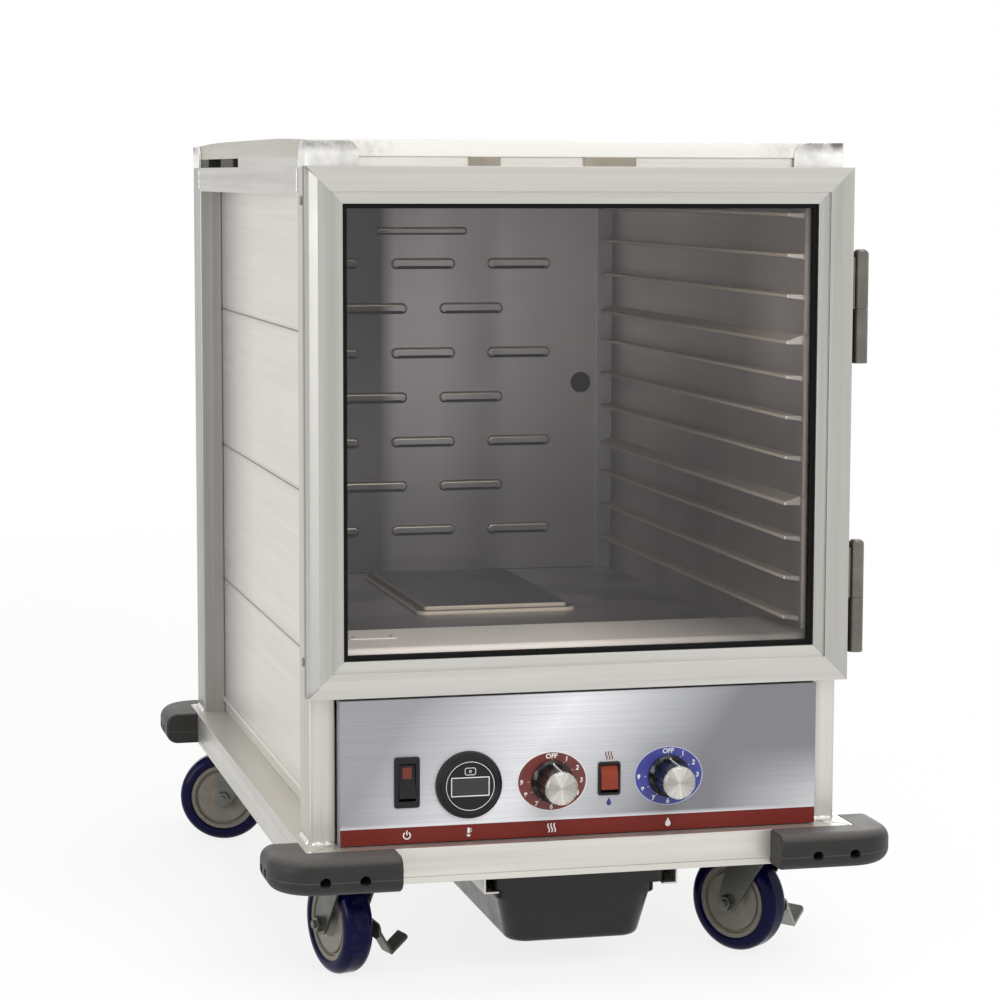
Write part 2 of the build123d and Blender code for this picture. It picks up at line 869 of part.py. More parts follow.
def louvre_slot(centre_x, centre_z):
    slot_z = centre_z - louvre_height / 2 + louvre_slot_height / 2
    half = louvre_length / 2 - louvre_height / 2
    block(
        (centre_x - half, louvre_y - louvre_rise, slot_z - louvre_slot_height / 2),
        (centre_x + half, louvre_y + sheet, slot_z + louvre_slot_height / 2),
        Mode.SUBTRACT,
    )


def louvre_places():
    for row in range(louvre_rows):
        height = louvre_top_row - row * louvre_row_pitch
        middle = louvre_odd_centre if row % 2 == 0 else louvre_even_centre
        for column in (-1, 0, 1):
            yield middle + column * louvre_column_pitch, height


# Louvred panel at the back of the heated space, with leaning strips out to the walls
with BuildPart() as louvre_panel:
    louvre_top = ceiling_top - sheet
    block((-louvre_half_width, louvre_y, floor_top), (louvre_half_width, louvre_y + sheet, louvre_top))
    for side in (-1, 1):
        with BuildSketch(Plane.XY.offset(floor_top)) as strip:
            with BuildLine():
                Polyline(
                    (side * louvre_half_width, louvre_y),
                    (side * panel_inner_x, louvre_y - louvre_strip_lean),
                    (side * panel_inner_x, louvre_y - louvre_strip_lean + sheet),
                    (side * louvre_half_width, louvre_y + sheet),
                    (side * louvre_half_width, louvre_y),
                )
            make_face()
        extrude(strip.sketch, amount=louvre_top - floor_top)
    for centre_x, centre_z in louvre_places():
        louvre(centre_x, centre_z)
    rack_plane = Plane(origin=(rack_slot_x, louvre_y, rack_slot_z), x_dir=(1, 0, 0), z_dir=(0, -1, 0))
    with BuildSketch(rack_plane) as rack_slot:
        SlotOverall(rack_slot_length, rack_slot_height)
    extrude(rack_slot.sketch, amount=louvre_rise)
    hood_faces = louvre_panel.faces().filter_by(Axis.Y).sort_by(Axis.Y).group_by(Axis.Y)[0]
    fillet(hood_faces.edges(), louvre_round)
    for centre_x, centre_z in louvre_places():
        louvre_slot(centre_x, centre_z)
    sensor_start = (sensor_hole_x, louvre_y - louvre_rise, sensor_hole_z)
    rod(sensor_start, (0, 1, 0), sensor_hole_diameter, 2 * louvre_rise, Mode.SUBTRACT)
write_node("louvre_panel", louvre_panel)

# Floor of the heated space, open under the raised cover
with BuildPart() as cavity_floor:
    block(
        (-panel_inner_x, floor_front, floor_top - floor_sheet),
        (panel_inner_x, louvre_y - louvre_strip_lean - floor_gap, floor_top),
    )
    block(
        (cover_x - steam_opening_width / 2, cover_y - steam_opening_depth / 2, floor_top - floor_sheet),
        (cover_x + steam_opening_width / 2, cover_y + steam_opening_depth / 2, floor_top),
        Mode.SUBTRACT,
    )
write_node("cavity_floor", cavity_floor)

# Raised two-step cover over the steam opening
with BuildPart() as floor_vent_cover:
    with BuildSketch(Plane(origin=(cover_x, cover_y, floor_top))) as outer_step:
        RectangleRounded(cover_width, cover_depth, cover_corner)
    extrude(outer_step.sketch, amount=cover_step)
    fillet(floor_vent_cover.faces().sort_by(Axis.Z)[-1].edges(), cover_round)
    inner_width = cover_width - 2 * cover_inset
    inner_depth = cover_depth - 2 * cover_inset
    with BuildSketch(Plane(origin=(cover_x, cover_y, floor_top + cover_step))) as inner_step:
        RectangleRounded(inner_width, inner_depth, cover_inner_corner)
    extrude(inner_step.sketch, amount=cover_step)
    fillet(floor_vent_cover.faces().sort_by(Axis.Z)[-1].edges(), cover_top_round)
    half_x = cover_width / 2 - cover_inset - sheet
    half_y = cover_depth / 2 - cover_inset - sheet
    block(
        (cover_x - half_x, cover_y - half_y, floor_top),
        (cover_x + half_x, cover_y + half_y, floor_top + 2 * cover_step - sheet),
        Mode.SUBTRACT,
    )
write_node("floor_vent_cover", floor_vent_cover)

# Door sill, folded from one sheet, with a rounded front edge
with BuildPart() as door_sill:
    with BuildSketch(Plane.YZ.offset(-post_inner + floor_gap)) as sill_section:
        with BuildLine():
            Polyline(
                (front_plane, sill_underside),
                (front_plane, sill_top),
                (floor_front, sill_top),
                (floor_front, floor_top - floor_sheet),
                (floor_front - floor_sheet, floor_top - floor_sheet),
                (floor_front - floor_sheet, sill_top - floor_sheet),
                (front_plane + floor_sheet, sill_top - floor_sheet),
                (front_plane + floor_sheet, sill_underside + floor_sheet),
                (front_plane + post_width, sill_underside + floor_sheet),
                (front_plane + post_width, sill_underside),
                (front_plane, sill_underside),
            )
        make_face()
        fillet(sill_section.vertices().sort_by_distance((front_plane, sill_top))[0], sill_bead)
    extrude(sill_section.sketch, amount=2 * (post_inner - floor_gap))
    for side in (-1, 1):
        cut_x = (side * panel_inner_x, side * post_inner)
        block(
            (min(cut_x), wall_front - floor_gap, sill_underside),
            (max(cut_x), floor_front, sill_top),
            Mode.SUBTRACT,
        )
write_node("door_sill", door_sill)


# Section of a door member: distance from the outer edge, then depth from the front
def member_section(finger_pull):
    outer = [(0, 0)]
    if finger_pull:
        outer = [
            (0, stile_lip_depth),
            (stile_lip, stile_lip_depth),
            (stile_slope_end, 0),
        ]
    inner_edge = member_width
    channel_edge = member_width - glass_channel_reach
    channel_end = glass_channel_depth + glass_channel_width
    return outer + [
        (member_width - member_step, 0),
        (member_width - member_step, member_step_depth),
        (inner_edge, member_step_depth),
        (inner_edge, glass_channel_depth),
        (channel_edge, glass_channel_depth),
        (channel_edge, channel_end),
        (inner_edge, channel_end),
        (inner_edge, door_depth),
        (0, door_depth),
    ]


# One door member between two outer corners, mitred at both ends
def door_member(start, end, inward, finger_pull=False):
    start = Vector(start[0], door_front_y, start[1])
    end = Vector(end[0], door_front_y, end[1])
    along = (end - start).normalized()
    inward = Vector(inward[0], 0, inward[1])
    length = (end - start).length
    flip = 1 if inward.cross(Vector(0, 1, 0)).dot(along) > 0 else -1
    section_plane = Plane(origin=start if flip > 0 else end, x_dir=inward, z_dir=along * flip)
    front = Plane(origin=start, x_dir=along, z_dir=(0, 1, 0))
    turn = 1 if front.y_dir.dot(inward) > 0 else -1
    with BuildPart() as member:
        with BuildSketch(section_plane) as section:
            points = member_section(finger_pull)
            with BuildLine():
                Polyline(*points, points[0])
            make_face()
        extrude(section.sketch, amount=length)
        with BuildSketch(front) as outline:
            with BuildLine():
                Polyline(
                    (0, 0),
                    (length, 0),
                    (length - member_width, turn * member_width),
                    (member_width, turn * member_width),
                    (0, 0),
                )
            make_face()
        extrude(outline.sketch, amount=door_depth, mode=Mode.INTERSECT)
    return member


write_node("door_top_rail", door_member((door_left, door_top), (door_right, door_top), (0, -1)))
write_node("door_bottom_rail", door_member((door_left, door_bottom), (door_right, door_bottom), (0, 1)))
write_node("door_left_stile", door_member((door_left, door_bottom), (door_left, door_top), (1, 0), True))
write_node("door_right_stile", door_member((door_right, door_bottom), (door_right, door_top), (-1, 0)))

# Black glazing gasket around the pane, seated in the members' channel
door_mid_z = (door_bottom + door_top) / 2
opening_width = door_width - 2 * member_width
opening_height = door_top - door_bottom - 2 * member_width
pane_width = opening_width - 2 * gasket_show + 2 * pane_grip
pane_height = opening_height - 2 * gasket_show + 2 * pane_grip
channel_y = door_front_y + glass_channel_depth
pane_y = channel_y + (glass_channel_width - pane_thickness) / 2
with BuildPart() as glazing_gasket:
    gasket_plane = Plane(origin=(0, channel_y, door_mid_z), x_dir=(1, 0, 0), z_dir=(0, -1, 0))
    with BuildSketch(gasket_plane) as gasket_outline:
        Rectangle(opening_width + 2 * glass_channel_reach, opening_height + 2 * glass_channel_reach)
        Rectangle(opening_width - 2 * gasket_show, opening_height - 2 * gasket_show, mode=Mode.SUBTRACT)
    extrude(gasket_outline.sketch, amount=-glass_channel_width)
    block(
        (-pane_width / 2, pane_y, door_mid_z - pane_height / 2),
        (pane_width / 2, pane_y + pane_thickness, door_mid_z + pane_height / 2),
        Mode.SUBTRACT,
    )
write_node("glazing_gasket", glazing_gasket)

with BuildPart() as door_pane:
    block(
        (-pane_width / 2, pane_y, door_mid_z - pane_height / 2),
        (pane_width / 2, pane_y + pane_thickness, door_mid_z + pane_height / 2),
    )
write_node("door_pane", door_pane)

# Magnetic seal on the back of the door, just clear of the posts
with BuildPart() as door_seal:
    seal_plane = Plane(origin=(0, door_back_y, door_mid_z), x_dir=(1, 0, 0), z_dir=(0, -1, 0))
    seal_outer_width = door_width - 2 * seal_inset
    seal_outer_height = door_top - door_bottom - 2 * seal_inset
    with BuildSketch(seal_plane) as seal_outline:
        RectangleRounded(seal_outer_width, seal_outer_height, seal_width / 2)
        Rectangle(seal_outer_width - 2 * seal_width, seal_outer_height - 2 * seal_width, mode=Mode.SUBTRACT)
    extrude(seal_outline.sketch, amount=-(front_plane - door_back_y - swing_gap))
write_node("door_seal", door_seal)


# Upper knuckle and leaf of one hinge, on the door's edge
def door_leaf(split, high):
    with BuildPart() as leaf:
        knuckle_low = split + swing_gap
        rod((barrel_x, hinge_y, knuckle_low), (0, 0, 1), barrel_diameter, high - knuckle_low)
        fillet(leaf.faces().sort_by(Axis.Z)[-1].edges(), barrel_round)
        block(
            (door_right, door_front_y + (door_depth - door_leaf_depth) / 2, knuckle_low),
            (door_right + leaf_wall, door_front_y + (door_depth + door_leaf_depth) / 2, high - barrel_diameter / 2),
        )
        block(
            (door_right, hinge_y - leaf_wall / 2, knuckle_low),
            (barrel_x, hinge_y + leaf_wall / 2, high - barrel_diameter / 2),
        )
        bore = hinge_pin_diameter + 2 * running_fit
        rod((barrel_x, hinge_y, knuckle_low), (0, 0, 1), bore, hinge_pin_rise + swing_gap, Mode.SUBTRACT)
    return leaf


# Lower knuckle, its pin and the leaf on the post's outer side
def frame_leaf(low, split):
    leaf_y = front_plane + frame_leaf_start
    screw_y = front_plane + hinge_screw_setback
    with BuildPart() as leaf:
        rod((barrel_x, hinge_y, low), (0, 0, 1), barrel_diameter, split - low)
        rod((barrel_x, hinge_y, low), (0, 0, 1), hinge_pin_diameter, split - low + hinge_pin_rise)
        block((post_outer, leaf_y, low), (post_outer + leaf_wall, leaf_y + frame_leaf_depth, split))
        with BuildSketch(Plane.XY.offset(low)) as arm:
            with BuildLine():
                Polyline(
                    (post_outer, leaf_y),
                    (post_outer + leaf_wall, leaf_y + leaf_wall),
                    (barrel_x + leaf_wall, hinge_y),
                    (barrel_x, hinge_y),
                    (post_outer + leaf_wall, leaf_y - leaf_wall),
                    (post_outer, leaf_y),
                )
            make_face()
        extrude(arm.sketch, amount=split - low)
        for height in (low + hinge_screw_inset, split - hinge_screw_inset):
            rod((post_outer, screw_y, height), (1, 0, 0), screw_shank_diameter + screw_room, leaf_wall, Mode.SUBTRACT)
    return leaf


write_node("hinge_door_leaves", *[door_leaf(split, high) for low, split, high in hinge_spans])
write_node("hinge_frame_leaves", *[frame_leaf(low, split) for low, split, high in hinge_spans])

# Front of the heater drawer, folded back at its four edges
with BuildPart() as control_panel:
    block(
        (-panel_half_width, panel_y, panel_bottom),
        (panel_half_width, panel_y + panel_flange, panel_top),
    )
    block(
        (-panel_half_width + panel_sheet, panel_back_y, panel_bottom + panel_sheet),
        (panel_half_width - panel_sheet, panel_y + panel_flange, panel_top - panel_sheet),
        Mode.SUBTRACT,
    )
    for centre_x, centre_z, bezel in ((power_x, power_z, power_bezel), (mode_x, mode_z, mode_bezel)):
        hole_x = bezel[0] / 2 - switch_body_margin
        hole_z = bezel[1] / 2 - switch_body_margin
        block(
            (centre_x - hole_x, panel_y, centre_z - hole_z),
            (centre_x + hole_x, panel_back_y, centre_z + hole_z),
            Mode.SUBTRACT,
        )
    rod((gauge_x, panel_y, gauge_z), (0, 1, 0), gauge_body_diameter, panel_sheet, Mode.SUBTRACT)
    for centre_x in (heat_x, humidity_x):
        rod((centre_x, panel_y, dial_z), (0, 1, 0), dial_hole, panel_sheet, Mode.SUBTRACT)
write_node("control_panel", control_panel)

# Drawer tray behind the front, open at the top, with two glides below
drawer_side_top = drawer_floor + drawer_side_height
with BuildPart() as drawer_box:
    block(
        (-drawer_half_width, panel_back_y, drawer_floor),
        (drawer_half_width, drawer_rear_y, drawer_side_top),
    )
    block(
        (-drawer_half_width + sheet, panel_back_y, drawer_floor + sheet),
        (drawer_half_width - sheet, drawer_rear_y - sheet, drawer_side_top),
        Mode.SUBTRACT,
    )
    block((*opening_low, drawer_floor), (*opening_high, drawer_floor + sheet), Mode.SUBTRACT)
    for side in (-1, 1):
        glide_x = (side * (drawer_half_width - glide_inset), side * (drawer_half_width - glide_inset - glide_width))
        block(
            (min(glide_x), panel_y + panel_flange, base_top + slide_gap),
            (max(glide_x), drawer_rear_y, drawer_floor),
        )
write_node("drawer_box", drawer_box)


# Switch housing: a bezel in front of the panel and a hollow body behind it
def switch_body(centre_x, centre_z, bezel, well):
    face = Plane(origin=(centre_x, panel_y, centre_z), x_dir=(1, 0, 0), z_dir=(0, -1, 0))
    with BuildPart() as body:
        with BuildSketch(face) as rim:
            RectangleRounded(*bezel, bezel_corner)
        extrude(rim.sketch, amount=bezel_proud)
        fillet(body.faces().sort_by(Axis.Y)[0].edges(), bezel_round)
        with BuildSketch(face) as shell:
            Rectangle(bezel[0] - 2 * switch_body_margin, bezel[1] - 2 * switch_body_margin)
        extrude(shell.sketch, amount=-switch_body_depth)
        well_depth = rocker_pivot_depth + rocker_root_depth + switch_well_spare
        block(
            (centre_x - well[0] / 2, panel_y - bezel_proud, centre_z - well[1] / 2),
            (centre_x + well[0] / 2, panel_y + well_depth, centre_z + well[1] / 2),
            Mode.SUBTRACT,
        )
    return body


# Rocker on a cross pivot, tilted to its rest position; its face folds between two flats
def rocker(centre_x, centre_z, well, face_shape):
    edge_proud, fold_proud, fold_rise = face_shape
    half = well[1] / 2 - rocker_end_gap
    root_half = half - rocker_back_taper
    half_width_x = well[0] / 2 - rocker_side_gap
    section_plane = Plane.YZ.offset(centre_x - half_width_x)
    with BuildPart() as tipping:
        with BuildSketch(section_plane) as section:
            with BuildLine():
                Polyline(
                    (panel_y - edge_proud, centre_z - half),
                    (panel_y - fold_proud, centre_z + fold_rise),
                    (panel_y - edge_proud, centre_z + half),
                    (panel_y + rocker_pivot_depth, centre_z + root_half),
                    (panel_y + rocker_pivot_depth + rocker_root_depth, centre_z),
                    (panel_y + rocker_pivot_depth, centre_z - root_half),
                    (panel_y - edge_proud, centre_z - half),
                )
            make_face()
        extrude(section.sketch, amount=2 * half_width_x)
        fillet(tipping.faces().sort_by(Axis.Y)[0:2].edges().filter_by(Axis.X), rocker_round)
    pivot = Axis((centre_x, panel_y + rocker_pivot_depth, centre_z), (1, 0, 0))
    tipping.part = tipping.part.rotate(pivot, rocker_tilt)
    return tipping


write_node(
    "switch_housings",
    switch_body(power_x, power_z, power_bezel, power_well),
    switch_body(mode_x, mode_z, mode_bezel, mode_well),
)
write_node("power_rocker", rocker(power_x, power_z, power_well, power_rocker_face))
write_node("mode_rocker", rocker(mode_x, mode_z, mode_well, mode_rocker_face))

# Round thermometer: stepped bezel in front, body behind the panel
with BuildPart() as thermometer:
    with BuildSketch(Plane(origin=(gauge_x, panel_y, gauge_z), x_dir=(1, 0, 0), z_dir=(0, 0, 1))) as profile:
        with BuildLine():
            Polyline(
                (0, -gauge_face[1]),
                (gauge_face[0], -gauge_face[1]),
                *[(radius, -proud) for radius, proud in gauge_steps],
                (gauge_diameter / 2, 0),
                (gauge_body_diameter / 2 - screw_room, 0),
                (gauge_body_diameter / 2 - screw_room, gauge_body_depth),
                (0, gauge_body_depth),
                (0, -gauge_face[1]),
            )
        make_face()
    revolve(profile.sketch, axis=Axis((gauge_x, panel_y, gauge_z), (0, 1, 0)))
write_node("thermometer", thermometer)


# Oval dial plate on the panel, with a hole for the shaft
def dial_plate_at(centre_x):
    face = Plane(origin=(centre_x, panel_y, dial_z), x_dir=(1, 0, 0), z_dir=(0, -1, 0))
    with BuildPart() as plate:
        with BuildSketch(face) as oval:
            Ellipse(dial_width / 2, dial_height / 2)
            Circle(dial_hole / 2, mode=Mode.SUBTRACT)
        extrude(oval.sketch, amount=dial_plate)
    return plate


# Fluted knob with a wide skirt; its metal cap is a disc of its own
def knob_at(centre_x):
    base_y = panel_y - dial_plate - knob_panel_gap
    axis = Axis((centre_x, base_y, dial_z), (0, 1, 0))
    side_plane = Plane(origin=(centre_x, base_y, dial_z), x_dir=(1, 0, 0), z_dir=(0, 0, 1))
    body_height = knob_height - knob_cap_thickness
    with BuildPart() as knob:
        with BuildSketch(side_plane) as profile:
            with BuildLine():
                Polyline(
                    (0, 0),
                    (knob_skirt_diameter / 2, 0),
                    (knob_skirt_diameter / 2, -knob_skirt_edge),
                    (knob_body_diameter / 2, -knob_skirt_rise),
                    (knob_top_diameter / 2, -body_height),
                    (0, -body_height),
                    (0, 0),
                )
            make_face()
        revolve(profile.sketch, axis=axis)
        flute_front = Plane(origin=(centre_x, base_y - knob_height, dial_z), x_dir=(1, 0, 0), z_dir=(0, -1, 0))
        with BuildSketch(flute_front) as flutes:
            with PolarLocations(knob_body_diameter / 2 + knob_flute_offset, knob_flutes):
                Circle(knob_flute_radius)
        extrude(flutes.sketch, amount=-(knob_height - knob_flute_foot), mode=Mode.SUBTRACT)
        bore = shaft_diameter + 2 * running_fit
        bore_depth = shaft_reach - knob_panel_gap + shaft_end_room
        rod((centre_x, base_y, dial_z), (0, -1, 0), bore, bore_depth, Mode.SUBTRACT)
    with BuildPart() as cap:
        rod((centre_x, base_y - body_height, dial_z), (0, -1, 0), knob_cap_diameter, knob_cap_thickness)
        chamfer(cap.faces().sort_by(Axis.Y)[0].edges(), knob_cap_chamfer)
    return knob, cap


write_node("heat_dial_plate", dial_plate_at(heat_x))
write_node("humidity_dial_plate", dial_plate_at(humidity_x))
write_node("heat_knob", *knob_at(heat_x))
write_node("humidity_knob", *knob_at(humidity_x))


# Rotary control behind the panel, with its shaft through the dial plate
def rotary_control(centre_x):
    half = thermostat_width / 2
    with BuildPart() as control:
        block(
            (centre_x - half, panel_back_y, dial_z - half),
            (centre_x + half, panel_back_y + thermostat_depth, dial_z + half),
        )
        fillet(control.edges().filter_by(Axis.Y), thermostat_corner)
        shaft_start = (centre_x, panel_back_y, dial_z)
        rod(shaft_start, (0, -1, 0), shaft_diameter, panel_sheet + dial_plate + shaft_reach)
    return control


write_node("rotary_controls", rotary_control(heat_x), rotary_control(humidity_x))

# Fan motor on the drawer floor, its shaft upright
motor_base = drawer_floor + sheet
motor_top = motor_base + motor_height
with BuildPart() as fan_motor:
    rod((motor_x, motor_y, motor_base), (0, 0, 1), motor_diameter, motor_height)
    fillet(fan_motor.faces().sort_by(Axis.Z)[-1].edges(), motor_round)
    rod((motor_x, motor_y, motor_top), (0, 0, 1), shaft_diameter, motor_shaft_rise)
write_node("fan_motor", fan_motor)

# Fan wheel: hub, back disc and upright curved blades
fan_bottom = motor_top + fan_rise
with BuildPart() as fan_wheel:
    rod((motor_x, motor_y, fan_bottom), (0, 0, 1), fan_diameter, fan_blade_wall)
    rod((motor_x, motor_y, fan_bottom), (0, 0, 1), fan_hub_diameter, fan_height)
    for index in range(fan_blades):
        angle = index * 360 / fan_blades
        direction = Vector(cos(radians(angle)), sin(radians(angle)), 0)
        blade_plane = Plane(
            origin=Vector(motor_x, motor_y, fan_bottom) + direction * fan_blade_radius,
            x_dir=direction.rotate(Axis.Z, fan_blade_twist),
            z_dir=(0, 0, 1),
        )
        with BuildSketch(blade_plane) as blade:
            Rectangle(fan_blade_length, fan_blade_wall)
        extrude(blade.sketch, amount=fan_height)
    bore = shaft_diameter + 2 * running_fit
    rod((motor_x, motor_y, fan_bottom), (0, 0, 1), bore, fan_height, Mode.SUBTRACT)
write_node("fan_wheel", fan_wheel)

# Air element: a ring of heating rod around the fan, on two legs
element_z = motor_base + air_element_rise
with BuildPart() as air_element:
    ring_plane = Plane(origin=(motor_x + air_element_radius, motor_y, element_z), z_dir=(0, 1, 0))
    with BuildSketch(ring_plane) as ring_section:
        Circle(element_diameter / 2)
    revolve(ring_section.sketch, axis=Axis((motor_x, motor_y, element_z), (0, 0, 1)))
    for side in (-1, 1):
        leg = (motor_x + side * air_element_radius, motor_y, motor_base)
        rod(leg, (0, 0, 1), element_leg_diameter, air_element_rise)

# Steam element: a hairpin over the opening above the water pan
with BuildPart() as steam_element:
    hairpin_z = motor_base + steam_element_rise
    hairpin_front = drawer_opening_y - steam_element_length / 2
    bend_centre = (drawer_opening_x, drawer_opening_y + steam_element_length / 2, hairpin_z)
    for side in (-1, 1):
        start = (drawer_opening_x + side * steam_element_half, hairpin_front, hairpin_z)
        rod(start, (0, 1, 0), element_diameter, steam_element_length)
        foot = (start[0], drawer_opening_y - drawer_opening_depth / 2 - element_diameter, motor_base)
        rod(foot, (0, 0, 1), element_diameter, steam_element_rise + element_diameter / 2)
        rod((foot[0], foot[1], hairpin_z), (0, 1, 0), element_diameter, hairpin_front - foot[1])
    bend_plane = Plane(
        origin=(drawer_opening_x + steam_element_half, bend_centre[1], hairpin_z), z_dir=(0, 1, 0)
    )
    with BuildSketch(bend_plane) as bend_section:
        Circle(element_diameter / 2)
    revolve(bend_section.sketch, axis=Axis(bend_centre, (0, 0, 1)), revolution_arc=180)
write_node("heating_elements", air_element, steam_element)

# Water pan: a tapered tray with a turned-down rim
pan_front_y = front_plane + pan_front
pan_y = pan_front_y + pan_rim_length / 2
pan_bottom = pan_rim_top - pan_depth


# Lofts between two rounded outlines of the pan, each (width, length), in the part that is open
def pan_loft(low_size, low, high_size, high, inset):
    corner = pan_corner - inset
    with BuildSketch(Plane(origin=(pan_x, pan_y, low))) as low_outline:
        RectangleRounded(low_size[0] - 2 * inset, low_size[1] - 2 * inset, corner)
    with BuildSketch(Plane(origin=(pan_x, pan_y, high))) as high_outline:
        RectangleRounded(high_size[0] - 2 * inset, high_size[1] - 2 * inset, corner)
    loft(sections=(low_outline.sketch, high_outline.sketch))


pan_shoulder_z = pan_rim_top - pan_shoulder_drop
with BuildPart() as pan_inside:
    pan_loft(pan_floor, pan_bottom + pan_wall, pan_shoulder, pan_shoulder_z, pan_wall)
    pan_loft(pan_shoulder, pan_shoulder_z, pan_mouth, pan_rim_top, pan_wall)

with BuildPart() as water_pan:
    pan_loft(pan_floor, pan_bottom, pan_shoulder, pan_shoulder_z, 0)
    fillet(water_pan.faces().sort_by(Axis.Z)[0].edges(), pan_floor_round)
    with BuildSketch(Plane(origin=(pan_x, pan_y, pan_shoulder_z))) as collar:
        RectangleRounded(*pan_mouth, pan_corner)
    extrude(collar.sketch, amount=pan_shoulder_drop)
    with BuildSketch(Plane(origin=(pan_x, pan_y, pan_rim_top - pan_rim_drop))) as rim_outline:
        RectangleRounded(pan_rim_width, pan_rim_length, pan_rim_corner)
    extrude(rim_outline.sketch, amount=pan_rim_drop)
    with BuildSketch(Plane(origin=(pan_x, pan_y, pan_rim_top - pan_rim_drop))) as rim_inside:
        RectangleRounded(pan_rim_width - 2 * pan_wall, pan_rim_length - 2 * pan_wall, pan_rim_corner - pan_wall)
        RectangleRounded(*pan_mouth, pan_corner, mode=Mode.SUBTRACT)
    extrude(rim_inside.sketch, amount=pan_rim_drop - pan_wall, mode=Mode.SUBTRACT)
    fillet(water_pan.faces().sort_by(Axis.Z)[-1].outer_wire().edges(), pan_rim_round)
    add(pan_inside.part, mode=Mode.SUBTRACT)
write_node("water_pan", water_pan)

# Angle runners under the deck that the pan's rim slides on
runners = []
for side in (-1, 1):
    web_x = pan_x + side * (pan_rim_width / 2 + runner_gap)
    with BuildPart() as runner:
        web = (web_x, web_x + side * runner_wall)
        foot = (web_x - side * runner_foot, web_x + side * runner_wall)
        runner_end = pan_front_y + runner_length
        block((min(web), pan_front_y, runner_foot_top - runner_wall), (max(web), runner_end, base_top - rail_wall))
        block((min(foot), pan_front_y, runner_foot_top - runner_wall), (max(foot), runner_end, runner_foot_top))
    runners.append(runner)
write_node("pan_runners", *runners)

# Caster plates with their races and kingpins, under the pads
plates = []
race_top = caster_load_height - caster_plate[2]
race_bottom = race_top - race_height
crown_top = race_bottom - swing_gap
crown_bottom = crown_top - crown_plate - crown_skirt
for x_side in (-1, 1):
    for y_side in (-1, 1):
        with BuildPart() as plate:
            centre = (x_side * caster_x, y_side * caster_y)
            with BuildSketch(Plane(origin=(*centre, race_top))) as top_plate:
                RectangleRounded(caster_plate[0], caster_plate[1], caster_plate_corner)
            extrude(top_plate.sketch, amount=caster_plate[2])
            rod((*centre, race_bottom), (0, 0, 1), race_diameter, race_height)
            fillet(plate.faces().sort_by(Axis.Z)[0].edges(), race_round)
            pin_bottom = crown_bottom - swing_gap - kingpin_head
            rod((*centre, pin_bottom), (0, 0, 1), kingpin_diameter, race_bottom - pin_bottom)
            rod((*centre, pin_bottom), (0, 0, 1), kingpin_head_diameter, kingpin_head)
        plates.append(plate)
write_node("caster_plates", *plates)


